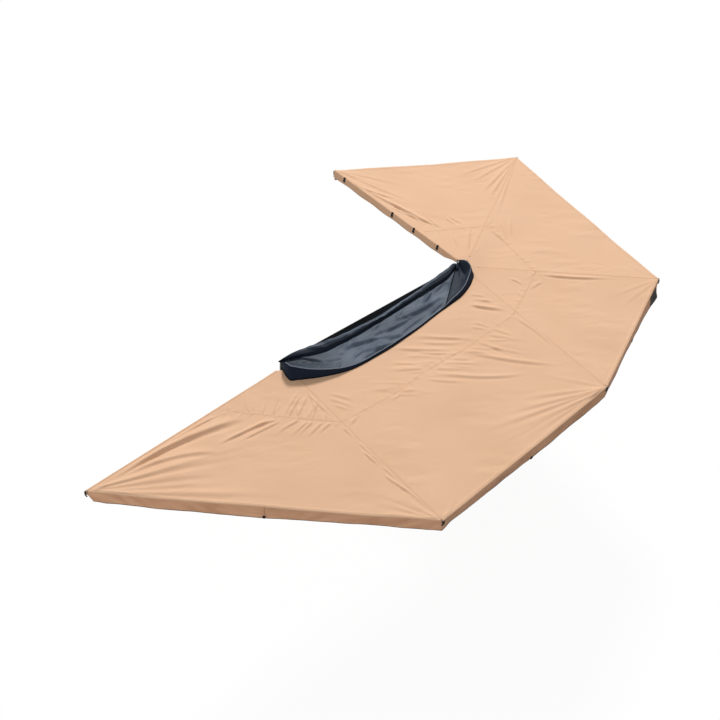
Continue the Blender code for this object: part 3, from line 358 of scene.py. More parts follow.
def line_distance(plan, start, end):
    """Distance of each point from the stretch between start and end."""
    along = end - start
    share = np.clip(((plan - start) @ along) / (along @ along), 0.0, 1.0)
    return np.linalg.norm(plan - start - share[..., None] * along, axis=-1)


class Arm:
    """An arm in plan: its hinge pin, its direction, the canopy corner past its tip, and its top face."""

    def __init__(self, name):
        joint = next(joint for joint in frame["joints"] if joint["name"] == f"{name}_hinge")
        low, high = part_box(f"{name}_tube")
        tip = np.array([vertex.co for vertex in frame["nodes"][f"{name}_tip_cap"].data.vertices])
        self.pin = np.array(joint["pos_m"][:2])
        self.ahead = unit((np.array(low) + np.array(high))[:2] / 2 - self.pin)
        self.reach = ((tip[:, :2] - self.pin) @ self.ahead).max() + CORNER_OVERHANG
        self.corner = self.out(self.reach)
        self.top = high[2] + CLOTH_LIFT

    def out(self, distance):
        return self.pin + distance * self.ahead

    def level(self, distance):
        """Level of the cloth over the arm, from the keder track to the tip."""
        return TRACK_LEVEL + (self.top - TRACK_LEVEL) * distance / self.reach


arm_lines = {name: Arm(name) for name in ARMS}

# Folds and wrinkles: every one is a stroke on the plan, added to the cloth's height
strokes = []
rng = np.random.default_rng(SEED)


def add_stroke(start, end, height, width, end_width=None, bend=0.0, rise=0.12, fall=0.5, items=strokes):
    items.append((start, end, height, width, end_width or width, bend, rise, fall))


def stroke_heights(plan, items):
    """The sum of the strokes at the points, as an array of the same shape."""
    flat = plan.reshape(-1, 2)
    total = np.zeros(len(flat))
    for start, end, height, width, end_width, bend, rise, fall in items:
        length = np.linalg.norm(end - start)
        ahead = (end - start) / length
        left = left_of(ahead)
        offset = flat - start
        share = offset @ ahead / length
        aside = offset @ left - bend * 4 * share * (1 - share) * length
        if left @ NEAR_SIDE < 0:
            aside = -aside
        x = aside / (width + (end_width - width) * np.clip(share, 0, 1))
        near = np.flatnonzero((share > 0) & (share < 1) & (np.abs(x) < 4))
        share, x = share[near], x[near]
        profile = smooth(share / rise) * smooth((1 - share) / fall)
        crest = np.exp(-np.where(x > 0, x / FOLD_STEEP, x / FOLD_GENTLE) ** 2)
        trough = np.exp(-((x - TROUGH_PLACE) / TROUGH_WIDTH) ** 2)
        total[near] += height * profile * (crest - TROUGH_DEPTH * trough)
    return total.reshape(plan.shape[:-1])


def pixel_fold(pixels, height, width, end_width=None, rise=0.3, fall=0.4, items=strokes):
    """A fold through two or three places in the photograph, given as x and y of each."""
    points = [on_plane(pixel, TRACK_LEVEL - 0.01) for pixel in np.reshape(pixels, (-1, 2))]
    along = points[-1] - points[0]
    bend = cross2(along, points[1] - points[0]) / (along @ along) if len(points) == 3 else 0.0
    add_stroke(points[0], points[-1], height, width, end_width, bend, rise, fall, items)


def corner_folds(name, height, end_width, fall, *targets):
    """Folds that leave a canopy corner and die out towards the target pixels."""
    corner = arm_lines[name].corner
    for x, y, strength in targets:
        end = on_plane((x, y), TRACK_LEVEL - 0.01)
        start = corner + CORNER_START * unit(end - corner)
        bend = rng.uniform(-0.012, 0.012)
        add_stroke(start, end, height * strength, CORNER_WIDTH, end_width, bend, 0.08, fall)


def puckers(start, end, spacing, length, height, width, lean=0.5):
    """Short gathers across a seam."""
    distance = np.linalg.norm(end - start)
    along = (end - start) / distance
    place = rng.uniform(0.2, 1.0) * spacing
    while place < distance:
        turn = towards(math.pi / 2 + rng.uniform(-lean, lean))
        ahead = along * turn[0] + left_of(along) * turn[1]
        reach = length * rng.uniform(0.5, 1.2)
        middle = start + along * place + ahead * rng.uniform(-0.3, 0.3) * reach
        add_stroke(middle - ahead * reach / 2, middle + ahead * reach / 2,
                   height * rng.uniform(0.4, 1.1), width * rng.uniform(0.8, 1.3), rise=0.4, fall=0.4)
        place += spacing * rng.uniform(0.6, 1.5)


def star(centre, count, length, height, width):
    """Folds all round a point where seams meet."""
    for index in range(count):
        ahead = towards(2 * math.pi * (index + rng.uniform(-0.3, 0.3)) / count)
        reach = length * rng.uniform(0.5, 1.2)
        add_stroke(centre + ahead * 0.008, centre + ahead * reach, height * rng.uniform(0.5, 1.2),
                   width, width * 1.6, rise=0.2, fall=0.7)


def side_seam_wrinkles(count):
    """Wrinkles that leave the side panel's ring seam to the left or the right in the photograph."""
    for _ in range(count):
        seam_x = rng.uniform(396, 492)
        side = rng.choice((-1, 1))
        near, far = seam_x + side * rng.uniform(1, 8), seam_x + side * rng.uniform(24, 58)
        y = np.interp(seam_x, SIDE_SEAM[:, 0], SIDE_SEAM[:, 1]) + rng.uniform(-2, 3)
        pixels = (near, y, (near + far) / 2, y + rng.uniform(-1, 2), far, y + rng.uniform(-2, 3))
        pixel_fold(pixels, rng.uniform(0.0025, 0.0060), 0.011, 0.017, 0.15, 0.7)


def front_seam_wrinkles(count):
    """Wrinkles that run up from the front panel's ring seam in the photograph."""
    for _ in range(count):
        x = rng.uniform(236, 336)
        pixels = (x, np.interp(x, *FRONT_SEAM) - 1, min(x + rng.uniform(-8, 12), 318), rng.uniform(386, 402))
        pixel_fold(pixels, rng.uniform(0.0025, 0.0055), 0.010, 0.018, 0.15, 0.7)


def make_waves(count, shortest, longest, size, turns=(0.0, math.pi)):
    """Seeded ripples of many lengths and directions, as rows of wave vector, phase and height."""
    waves = []
    for _ in range(count):
        length = shortest * (longest / shortest) ** rng.uniform()
        vector = 2 * math.pi / length * towards(rng.uniform(*turns))
        waves.append((*vector, rng.uniform(0, 2 * math.pi), size * length / longest))
    return waves


def wave_heights(plan, waves):
    return sum(size * np.sin(kx * plan[..., 0] + ky * plan[..., 1] + phase) for kx, ky, phase, size in waves)


ring_points = {name: on_plane(pixel, TRACK_LEVEL - 0.006) for name, pixel in RING_NODES.items()}
ring_side = [on_plane(pixel, TRACK_LEVEL - 0.010) for pixel in RING_SIDE]
ring_nodes = list(ring_points.values())
ring_chain = [*ring_nodes[:2], *ring_side, *ring_nodes[2:]]
for name, folds in CORNER_FOLDS.items():
    corner_folds(name, *folds)
for *pixels, height, width, end_width in EDGE_SWEEPS:
    pixel_fold(pixels, height, width, end_width, 0.35, 0.25)
for folds, form in FOLD_KINDS:
    for pixels in folds:
        pixel_fold(pixels, *form)
side_seam_wrinkles(30)
front_seam_wrinkles(16)
for first, second in zip(ring_chain, ring_chain[1:]):
    puckers(first, second, *RING_PUCKERS)
for name in ARMS[1:5]:
    arm = arm_lines[name]
    puckers(arm.out(PUCKER_START), arm.out(arm.reach - PUCKER_END), *HIP_PUCKERS)
for name in ARMS[:5]:
    star(ring_points[name], *NODE_FOLDS)
billows = make_waves(*BILLOWS)
patches = make_waves(*PATCHES)
crumples = make_waves(*CRUMPLES)
# Length, height and phase of each wave in the valances
valance_waves = [(rng.uniform(0.18, 0.9), rng.uniform(0.0004, 0.0011), rng.uniform(0, 6.28))
                 for _ in range(9)]


def cloth_folds(plan):
    """Height that folds, billows and crumples add to the stretched cloth at each point."""
    total = stroke_heights(plan, strokes)
    total += wave_heights(plan, crumples) * smooth(0.5 + wave_heights(plan, patches))
    drift = wave_heights(plan, billows)
    for arm in arm_lines.values():
        away = line_distance(plan, arm.pin, arm.corner) - ARM_HALF_WIDTH
        near = smooth(away / ARM_CLEAR)
        total = np.where(total < 0, total * near, total * (ARM_SHARE + (1 - ARM_SHARE) * near))
        drift = drift * smooth(away / BILLOW_CLEAR)
        total *= smooth((np.linalg.norm(plan - arm.pin, axis=-1) - HUB_FLAT) / HUB_CLEAR)
    return total + drift


# Meshes
def new_object(name, data):
    obj = bpy.data.objects.new(name, data)
    bpy.context.scene.collection.objects.link(obj)
    return obj


def set_uv(mesh, uv):
    """Write one UV per vertex to all of its corners."""
    layer = mesh.uv_layers.new(name="cloth")
    corner = np.zeros(len(mesh.loops), np.int32)
    mesh.loops.foreach_get("vertex_index", corner)
    layer.data.foreach_set("uv", uv[corner].astype(np.float32).ravel())


def grid_normals(rows):
    """Unit normals of a grid, turned so that its first half faces up, and whether they were turned."""
    normal = unit(np.cross(np.gradient(rows, axis=1), np.gradient(rows, axis=0)))
    flip = normal[: max(2, len(rows) // 2), :, 2].mean() < 0
    return -normal if flip else normal, flip


def travelled(rows, axis):
    """Distance along a grid of points up to each of them."""
    steps = np.diff(rows, axis=axis, prepend=rows.take([0], axis=axis))
    return np.cumsum(np.linalg.norm(steps, axis=-1), axis=axis)


def sheet_mesh(name, rows, thickness):
    """A closed thin sheet from a grid of points, with its UV map in metres along the grid."""
    normal, flip = grid_normals(rows)
    points = np.concatenate([rows.reshape(-1, 3), (rows - normal * thickness).reshape(-1, 3)])
    index = np.arange(len(points) // 2).reshape(rows.shape[:2])
    under = len(points) // 2
    top = np.stack([index[:-1, :-1], index[:-1, 1:], index[1:, 1:], index[1:, :-1]], axis=-1).reshape(-1, 4)
    rim = np.concatenate([index[0], index[1:, -1], index[-1, -2::-1], index[-2:0:-1, 0]])
    after = np.roll(rim, -1)
    side = np.stack([rim, rim + under, after + under, after], axis=-1)
    if flip:
        top, side = top[:, ::-1], side[:, ::-1]
    faces = np.concatenate([top, top[:, ::-1] + under, side])
    mesh = bpy.data.meshes.new(name)
    mesh.vertices.add(len(points))
    mesh.vertices.foreach_set("co", points.astype(np.float32).ravel())
    mesh.loops.add(faces.size)
    mesh.loops.foreach_set("vertex_index", faces.astype(np.int32).ravel())
    mesh.polygons.add(len(faces))
    mesh.polygons.foreach_set("loop_start", np.arange(0, faces.size, 4, dtype=np.int32))
    mesh.polygons.foreach_set("use_smooth", np.ones(len(faces), dtype=bool))
    mesh.update(calc_edges=True)
    mesh.validate()
    uv = np.stack([travelled(rows, 1), travelled(rows, 0)], axis=-1).reshape(-1, 2)
    set_uv(mesh, np.concatenate([uv, uv]))
    return new_object(name, mesh)


def tube(name, points, radius, sides=8):
    """A round bead along a line of points."""
    ahead = unit(np.gradient(points, axis=0))
    side = unit(np.cross(ahead, (0, 0, 1.0)))
    up = np.cross(side, ahead)
    turns = [towards(2 * math.pi * step / sides) for step in range(sides)]
    rings = np.stack([points + radius * (side * turn[0] + up * turn[1]) for turn in turns], axis=1)
    count = len(points)
    ring = np.arange(count * sides).reshape(count, sides)
    after = np.roll(ring, -1, axis=1)
    faces = np.stack([ring[:-1], after[:-1], after[1:], ring[1:]], axis=-1).reshape(-1, 4).tolist()
    faces += [ring[0, ::-1].tolist(), ring[-1].tolist()]
    mesh = bpy.data.meshes.new(name)
    mesh.from_pydata(rings.reshape(-1, 3).tolist(), [], faces)
    mesh.shade_smooth()
    around = np.tile(np.arange(sides) * 2 * math.pi * radius / sides, count)
    set_uv(mesh, np.stack([np.repeat(travelled(points, 0), sides), around], axis=1))
    return new_object(name, mesh)


# Panels
def panel_corners(name, a, b):
    """Plan of a panel's inner a, inner b, outer b, outer a, and the levels of the four."""
    if name == "side":
        starts = [arm.pin + arm.ahead * (CANOPY_EDGE - arm.pin[1]) / arm.ahead[1] for arm in (a, b)]
    else:
        starts = [a.out(APEX), b.out(APEX)]
    return [*starts, b.corner, a.corner], (TRACK_LEVEL, TRACK_LEVEL, b.top, a.top)


def inside_seams(corners):
    """Draw the panel's two hip sides in by half the seam's gap."""
    inner, outer = unit(corners[1] - corners[0]) * SEAM_GAP, unit(corners[2] - corners[3]) * SEAM_GAP
    return [corners[0] + inner, corners[1] - inner, corners[2] - outer, corners[3] + outer]


def between(values, cross, out):
    inner = values[0] * (1 - cross) + values[1] * cross
    outer = values[3] * (1 - cross) + values[2] * cross
    return inner * (1 - out) + outer * out


def outward_normal(edge, inside, outside):
    normal = left_of(edge)
    return normal if normal @ (outside - inside) >= 0 else -normal


def valance_creases(place, drop, width):
    """Long slanting wrinkles of a hanging valance, as a function of place along it and drop below its top."""
    total = 0.0
    for _ in range(int(width / CREASE_SPACING)):
        middle, depth = rng.uniform(0, width), rng.uniform(0.01, VALANCE_DROP)
        reach, slant = rng.uniform(0.07, 0.26), rng.uniform(-0.12, 0.12)
        size, height = rng.uniform(0.008, 0.016), rng.uniform(-0.0055, 0.0070)
        across = (drop - depth - slant * (place - middle)) / size
        total = total + height * np.exp(-across ** 2) * smooth(1 - np.abs(place - middle) / reach)
    return total


def hang_valance(name, start, bottom, place, width, edge, normal):
    """The valance's rows below the line where it starts, down to the given level of its foot."""
    share = (np.arange(1, VALANCE_ROWS + 1) / VALANCE_ROWS)[:, None]
    flare = np.interp(place, np.linspace(0, width, 5), VALANCE_FLARE[name])
    flare = np.convolve(np.pad(flare, len(FLARE_BLUR) // 2, mode="edge"), FLARE_BLUR, "valid")
    aside = share * (flare + sum(size * np.sin(2 * math.pi * place / length + phase + share * WAVE_LEAN)
                                 for length, size, phase in valance_waves))
    aside += valance_creases(place, share * VALANCE_DROP, width)
    held = smooth(np.minimum(place, width - place) / VALANCE_HELD)
    hang = np.repeat(start[None], VALANCE_ROWS, axis=0)
    hang[..., 2] = start[:, 2] * (1 - share) + bottom * share
    hang[..., :2] += normal * (aside * held)[..., None]
    if name == "front":
        cut = VALANCE_CUT * smooth(1 - (width - place) / CUT_REACH) * share
        hang[..., :2] -= edge * cut[..., None]
    return hang


def make_panel(name, first, second):
    """One panel with its folds, its rounded outer edge and its valance, and its grid of points."""
    a, b = arm_lines[first], arm_lines[second]
    corners, levels = panel_corners(name, a, b)
    edge = unit(corners[2] - corners[3])
    normal = outward_normal(edge, corners[0], corners[3])
    turns = [arm.ahead * EDGE_ROUND / (arm.ahead @ normal) for arm in (a, b)]
    corners = [*corners[:2], corners[2] - turns[1], corners[3] - turns[0]]
    width = np.linalg.norm(corners[2] - corners[3])
    reach = (a.reach + b.reach) / 2
    zone = 1 - EDGE_ZONE / reach
    cross = np.linspace(0, 1, int(width / GRID) + 1)
    coarse = np.linspace(0, zone, int(reach / GRID), endpoint=False)
    out = np.concatenate([coarse, np.linspace(zone, 1, EDGE_ROWS)])[:, None]
    plan = between(inside_seams(corners), cross[:, None], out[..., None])
    sag = SAG * 4 * cross * (1 - cross)
    ends = smooth(np.minimum(cross, 1 - cross) * width / EDGE_ZONE)
    roll = EDGE_ROLL * ends * np.exp(-(((1 - out) * reach - ROLL_PLACE) / ROLL_WIDTH) ** 2)
    top = with_level(plan, between(levels, cross, out) - sag * out + roll + cloth_folds(plan))
    rows = [top]
    offsets = turns[0] * (1 - cross[:, None]) + turns[1] * cross[:, None]
    for angle in np.radians(EDGE_TURNS):
        row = top[-1].copy()
        row[:, :2] += offsets * math.sin(angle)
        row[:, 2] -= EDGE_ROUND * (1 - math.cos(angle))
        rows.append(row[None])
    bottom = between(levels, cross, 1.0) - sag - VALANCE_DROP
    if name == "front":
        bottom = bottom + np.interp(cross, LIFT_PLACES, VALANCE_LIFT)
    rows.append(hang_valance(name, rows[-1][0], bottom, cross * width, width, edge, normal))
    grid = np.concatenate(rows)
    return sheet_mesh(f"canopy_{name}_cloth", grid, CLOTH_THICKNESS), grid


def follow_arms(obj):
    """Bake the place of a piece of a fan panel into its mesh."""
    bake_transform(obj)


def join_panel(obj, panel):
    """Give a piece to its panel: the side's pieces ride on the base, and the fans' pieces are baked where they
    stand.
    """
    if panel == "side":
        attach(obj, "base")
        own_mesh(obj)
    else:
        follow_arms(obj)


# Materials
def srgb(colour):
    """An 8-bit screen colour as linear values."""
    shares = [value / 255 for value in colour]
    linear = [share / 12.92 if share <= 0.04045 else ((share + 0.055) / 1.055) ** 2.4 for share in shares]
    return (*linear, 1.0)


def new_material(name):
    material = bpy.data.materials.new(name)
    material.use_nodes = True
    return material, material.node_tree, material.node_tree.nodes["Principled BSDF"]


def fill(tree, made, inputs):
    """Set a node's inputs to plain values, or link them to the outputs of others."""
    for key, value in inputs.items():
        if isinstance(value, bpy.types.NodeSocket):
            tree.links.new(value, made.inputs[key])
        else:
            made.inputs[key].default_value = value


def node(tree, kind, inputs, **settings):
    made = tree.nodes.new(f"ShaderNode{kind}")
    for key, value in settings.items():
        setattr(made, key, value)
    fill(tree, made, inputs)
    return made


def place_on(tree, kind, **mapping):
    """Texture coordinates of a kind, with the mapping's Scale and Rotation."""
    place = node(tree, "TexCoord", {}).outputs[kind]
    return node(tree, "Mapping", {"Vector": place, **mapping}).outputs["Vector"]


def noise(tree, vector, scale, detail=2.0):
    return node(tree, "TexNoise", {"Vector": vector, "Scale": scale, "Detail": detail}).outputs["Fac"]


def map_range(tree, value, low, high, **inputs):
    return node(tree, "MapRange", {"Value": value, "To Min": low, "To Max": high, **inputs})


def ramp(tree, share, dark, light, low=0.0, high=1.0):
    """A colour that goes from dark to light as the share goes from low to high."""
    made = node(tree, "ValToRGB", {"Fac": share})
    for element, colour, place in zip(made.color_ramp.elements, (dark, light), (low, high)):
        element.color = colour
        element.position = place
    return made.outputs["Color"]


def bump(tree, height, strength, distance, **before):
    inputs = {"Height": height, "Strength": strength, "Distance": distance, **before}
    return node(tree, "Bump", inputs).outputs["Normal"]


def weave(tree, vector):
    """Two crossed sets of threads."""
    inputs = {"Vector": vector, "Scale": WAVE_PERIOD / THREAD}
    waves = [node(tree, "TexWave", inputs, bands_direction=direction) for direction in ("X", "Y")]
    heights = {index: wave.outputs["Fac"] for index, wave in enumerate(waves)}
    return node(tree, "Math", heights, operation="MULTIPLY").outputs[0]


def paint_shade_along_x(tree, colour, painted_shade_spans):
    """Paint shade into a colour over stretches of the object, darker from one place on X to another by a share."""
    place = node(tree, "TexCoord", {}).outputs["Object"]
    x = node(tree, "SeparateXYZ", {0: place}).outputs["X"]
    for start, end, share in painted_shade_spans:
        amount = map_range(tree, x, 0.0, share, **{"From Min": start, "From Max": end})
        amount.interpolation_type = "SMOOTHSTEP"
        inputs = {0: amount.outputs["Result"], 6: colour, 7: srgb(PAINTED_SHADE_NAVY)}
        colour = node(tree, "Mix", inputs, data_type="RGBA").outputs[2]
    return colour


def canvas_material(name, dark, light, roughness=0.82, specular=0.25, sheen=0.06, crease=0.0025,
                    stretch=(1.0, 1.0, 1.0), turn=0.0, painted_shade_spans=()):
    """Coated woven cloth: drifting colour, threads and fine creases, and painted shade over the given stretches of
    X.
    """
    material, tree, shader = new_material(name)
    uv = place_on(tree, "UV")
    drift = noise(tree, place_on(tree, "UV", Scale=stretch, Rotation=(0.0, 0.0, turn)), DRIFT_NOISE, 4.0)
    colour = paint_shade_along_x(tree, ramp(tree, drift, srgb(dark), srgb(light), 0.30, 0.70), painted_shade_spans)
    speck = map_range(tree, noise(tree, uv, THREAD_NOISE), 0.96, 1.03).outputs["Result"]
    shade = node(tree, "VectorMath", {0: colour, "Scale": speck}, operation="SCALE")
    normal = bump(tree, noise(tree, uv, CREASE_NOISE, 5.0), 0.35, crease)
    normal = bump(tree, weave(tree, uv), 0.25, 0.0003, Normal=normal)
    fill(tree, shader, {"Base Color": shade.outputs["Vector"], "Roughness": roughness, "Sheen Weight": sheen,
                        "Specular IOR Level": specular, "Normal": normal})
    return material


def solid_material(name, dark, light, roughness, metallic, scale, grain, stretch=(1, 1, 1)):
    """Metal or moulded plastic: slightly uneven colour and gloss, with a fine surface grain."""
    material, tree, shader = new_material(name)
    place = place_on(tree, "Object", Scale=stretch)
    drift = noise(tree, place, scale, 4.0)
    gloss = map_range(tree, drift, roughness - GLOSS_DRIFT, roughness + GLOSS_DRIFT).outputs["Result"]
    normal = bump(tree, noise(tree, place, scale * GRAIN_SHARE), 0.4, grain)
    fill(tree, shader, {"Base Color": ramp(tree, drift, srgb(dark), srgb(light), 0.35, 0.65),
                        "Metallic": metallic, "Roughness": gloss, "Normal": normal})
    return material


CANVAS = canvas_material("canopy_canvas", (227, 184, 149), (231, 189, 155))
# Painted shade: a darker, warmer copy of the canvas for the valances, which hang in shade, with long streaks of
# painted crease shade
VALANCE_SHADE = canvas_material("canopy_valance_painted_shade", (204, 152, 117), (234, 182, 144),
                          stretch=(2.0, 5.0, 1.0), turn=0.35)
HEM = canvas_material("canopy_hem", (220, 176, 141), (228, 185, 150))
EDGE_BINDING = canvas_material("canopy_edge_binding", (72, 54, 44), (92, 70, 56), 0.8)
WEBBING = canvas_material("black_webbing", (24, 24, 26), (38, 38, 41), 0.7, 0.2, 0.0)
# The cover's inside PVC, with painted shade towards its front end and in the pocket at its rear end
PVC_INSIDE_AND_SHADE = canvas_material("cover_pvc_inside_and_painted_shade", (46, 57, 70), (90, 102, 117), 0.55, 0.20, 0.0, 0.006,
                             painted_shade_spans=((0.50, 1.05, 0.75), (-1.02, -1.12, 0.7)))
# The cover's outside: a darker navy than its inside, and made darker still as painted shade for the outer wall,
# which faces away from the key lamp
PVC_OUTSIDE_AND_SHADE = canvas_material("cover_pvc_outside_and_painted_shade", (12, 21, 36), (21, 33, 51), 0.7, 0.12, 0.0, 0.004)
# Painted shade: darker navy over the valley between the crest and the flap's lip, where shade falls, with more
# painted shade towards the rear end
PVC_VALLEY_SHADE = canvas_material("cover_pvc_painted_valley_shade", (18, 24, 34), (38, 46, 59), 0.7, 0.12, 0.0, 0.006,
                           painted_shade_spans=((0.30, -0.30, 0.6),))
# Painted shade: the rear end panel's flap in a darker navy, for the shade in the pocket at the rear end
PVC_END_SHADE = canvas_material("cover_pvc_end_painted_shade", (17, 24, 35), (38, 48, 62), 0.6, 0.15, 0.0, 0.006)
BINDING = canvas_material("cover_binding", (94, 103, 117), (120, 129, 143), 0.5, 0.3, 0.0)
# Black piping, also laid as painted shade on the rows between the cover's hinge and its crest
PIPING_AND_SHADE = canvas_material("cover_piping", (10, 11, 14), (17, 19, 23), 0.9, 0.04, 0.0)
finishes = {name: solid_material(name, *values) for name, values in SOLID_FINISHES.items()}
for subpart in frame["record"]["subparts"]:
    if subpart["material_slot"] in finishes:
        piece = frame["nodes"][subpart["node"]]
        piece.data.materials.clear()
        piece.data.materials.append(finishes[subpart["material_slot"]])


def dress(obj, material):
    obj.data.materials.append(material)
    return obj


def dress_rows(obj, material, grid, first, last, side="both", columns=(0, None)):
    """Give the faces between two rows of a sheet's grid another material, on its front, back or both."""
    obj.data.materials.append(material)
    width = grid.shape[1] - 1
    faces = (grid.shape[0] - 1) * width
    indices = np.zeros(len(obj.data.polygons), dtype=np.int32)
    obj.data.polygons.foreach_get("material_index", indices)
    for name, start in (("front", 0), ("back", faces)):
        if side in ("both", name):
            layer = indices[start:start + faces].reshape(-1, width)
            layer[first:last, columns[0]:columns[1]] = len(obj.data.materials) - 1
    obj.data.polygons.foreach_set("material_index", indices)


# The five panels and what is sewn on them
cloths, grids, surfaces = {}, {}, []
for panel, first, second in PANELS:
    cloth, grid = make_panel(panel, first, second)
    # Canvas on the panel, and its painted shade copy on the valance rows
    dress_rows(dress(cloth, CANVAS), VALANCE_SHADE, grid, len(grid) - VALANCE_ROWS - 2, len(grid) - 1)
    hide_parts(f"canopy_{panel}_panel")
    cloths[panel], grids[panel] = cloth, grid
    surfaces.append(BVHTree.FromPolygons([vertex.co for vertex in cloth.data.vertices],
                                         [tuple(polygon.vertices) for polygon in cloth.data.polygons]))


def level_on_canopy(x, y, fallback):
    """The canopy's height at a place in plan, or just beside it where two panels meet."""
    for aside_x, aside_y in ((0.0, 0.0), (0.003, 0.0), (-0.003, 0.0), (0.0, 0.003), (0.0, -0.003)):
        for surface in surfaces:
            hit = surface.ray_cast(Vector((x + aside_x, y + aside_y, 0.4)), Vector((0, 0, -1)), 0.38)[0]
            if hit is not None:
                return hit.z
    return fallback


def canopy_levels(plan, fallback=TRACK_LEVEL):
    return np.array([level_on_canopy(x, y, fallback) for x, y in plan])


def strip_on_canopy(name, line, width):
    """A flat strip sewn on the canopy along a line in plan, with a slightly raised middle."""
    points = [line[0]]
    for first, second in zip(line, line[1:]):
        count = max(1, int(np.linalg.norm(second - first) / STRIP_SPACING))
        points += [first + (second - first) * step / count for step in range(1, count + 1)]
    points = np.array(points)
    side = left_of(unit(np.gradient(points, axis=0)))
    rows = []
    for share in STRIP_SHARES:
        plan = points + side * width * share
        rows.append(with_level(plan, canopy_levels(plan) + STRIP_LIFT + STRIP_CROWN * (1 - (2 * share) ** 2)))
    return dress(sheet_mesh(name, np.array(rows), STRIP_LIFT + 0.0004), HEM)


def grid_patch(name, panel, rows, columns, lift, thickness, material):
    """A piece sewn flat on a panel, over those rows and columns of its grid."""
    raised = grids[panel] + grid_normals(grids[panel])[0] * lift
    return dress(sheet_mesh(name, raised[slice(*rows), slice(*columns)], thickness), material)


trims = {panel: [] for panel in cloths}
ring_lines = {panel: [ring_points[first], ring_points[second]] for panel, first, second in FANS}
ring_lines["side"] = ring_chain[1:6]
for panel, line in ring_lines.items():
    trims[panel].append(strip_on_canopy(f"{panel}_ring_seam", line, RING_WIDTH))
for panel, grid in grids.items():
    foot = tube(f"{panel}_valance_binding", grid[-1] + (0, 0, 0.0015), FOOT_RADIUS, 6)
    middle = grid.shape[1] // 2
    # The valance's middle seam, in the painted shade copy of the canvas
    seam = grid_patch(f"{panel}_valance_seam", panel, (len(grid) - VALANCE_ROWS - 3, len(grid)),
                      (middle - 1, middle + 2), 0.0014, 0.0016, VALANCE_SHADE)
    trims[panel] += [dress(foot, EDGE_BINDING), seam]
# The bare dark patch near the rearmost corner
grid = grids["rear_corner"]
step = np.linalg.norm(grid[-1, 1] - grid[-1, 0])
patch_columns = [grid.shape[1] - 1 - int(reach / step) for reach in PATCH_REACH]
trims["rear_corner"].append(grid_patch("rear_corner_valance_patch", "rear_corner",
                                       (len(grid) - VALANCE_ROWS, len(grid) - 1), patch_columns,
                                       0.0016, 0.0020, WEBBING))
for name in ARMS[1:5]:
    arm = arm_lines[name]
    line = [arm.out(HIP_START), arm.out(arm.reach - HIP_END)]
    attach(strip_on_canopy(f"{name}_hip_seam", line, HIP_WIDTH), name)
for panel, first, second in PANELS:
    for piece in [cloths[panel]] + trims[panel]:
        join_panel(piece, panel)


# Travel cover
def spline(points, count):
    """Evenly spaced points on a smooth curve through the given ones."""
    points = np.array(points, float)
    padded = np.vstack([2 * points[0] - points[1], points, 2 * points[-1] - points[-2]])
    fine = []
    for index in range(1, len(padded) - 2):
        p0, p1, p2, p3 = padded[index - 1: index + 3]
        t = np.linspace(0, 1, 24, endpoint=False)[:, None]
        fine.append(0.5 * (2 * p1 + (p2 - p0) * t + (2 * p0 - 5 * p1 + 4 * p2 - p3) * t ** 2
                           + (3 * p1 - p0 - 3 * p2 + p3) * t ** 3))
    fine = np.vstack(fine + [points[-1:]])
    distance = travelled(fine, 0)
    wanted = np.linspace(0, distance[-1], count)
    return np.stack([np.interp(wanted, distance, fine[:, axis]) for axis in range(fine.shape[1])], axis=1)


def soft_path(share, values):
    """A smooth curve through the values at the cross-section's knots, for every column at once."""
    low = np.clip(np.searchsorted(COVER_KNOTS, share) - 1, 0, len(COVER_KNOTS) - 2)
    part = (share - COVER_KNOTS[low]) / (COVER_KNOTS[low + 1] - COVER_KNOTS[low])
    part = 0.5 * part + 0.5 * smooth(part)
    return values[low] * (1 - part) + values[low + 1] * part


def cover_folds():
    """The flap's creases that the photograph shows, and smaller random ones."""
    folds = []
    for *pixels, height, width in COVER_CREASES:
        pixel_fold(pixels, height, width, items=folds)
    for _ in range(SMALL_CREASES):
        place = np.array((rng.uniform(-1.0, 1.05), rng.uniform(0.16, 0.46)))
        ahead = towards(rng.normal(-0.05, 0.45)) * rng.uniform(0.03, 0.11)
        add_stroke(place - ahead, place + ahead, rng.uniform(0.003, 0.009), rng.uniform(0.010, 0.018), None,
                   rng.uniform(-0.1, 0.1), 0.4, 0.4, folds)
    return folds


def cover_controls():
    """The hinge line, the cover's other five lines, and the heights of the first four, for every column."""
    keys = []
    for hinge, *pixels, crest, valley, flap, rim in COVER_ROWS:
        levels = [COVER_BASE + height for height in (crest, valley, flap, rim, 0.0)]
        places = [on_plane(pixel, level) for pixel, level in zip(np.reshape(pixels, (5, 2)), levels)]
        keys.append([hinge, crest, valley, flap, rim, *np.concatenate(places)])
    columns = spline(keys, COVER_COLUMNS)
    hinge = np.stack([columns[:, 0], np.full(COVER_COLUMNS, COVER_TRACK)], axis=1)
    return hinge, columns[:, 5:].reshape(-1, 5, 2).transpose(1, 0, 2), columns[:, 1:5].T


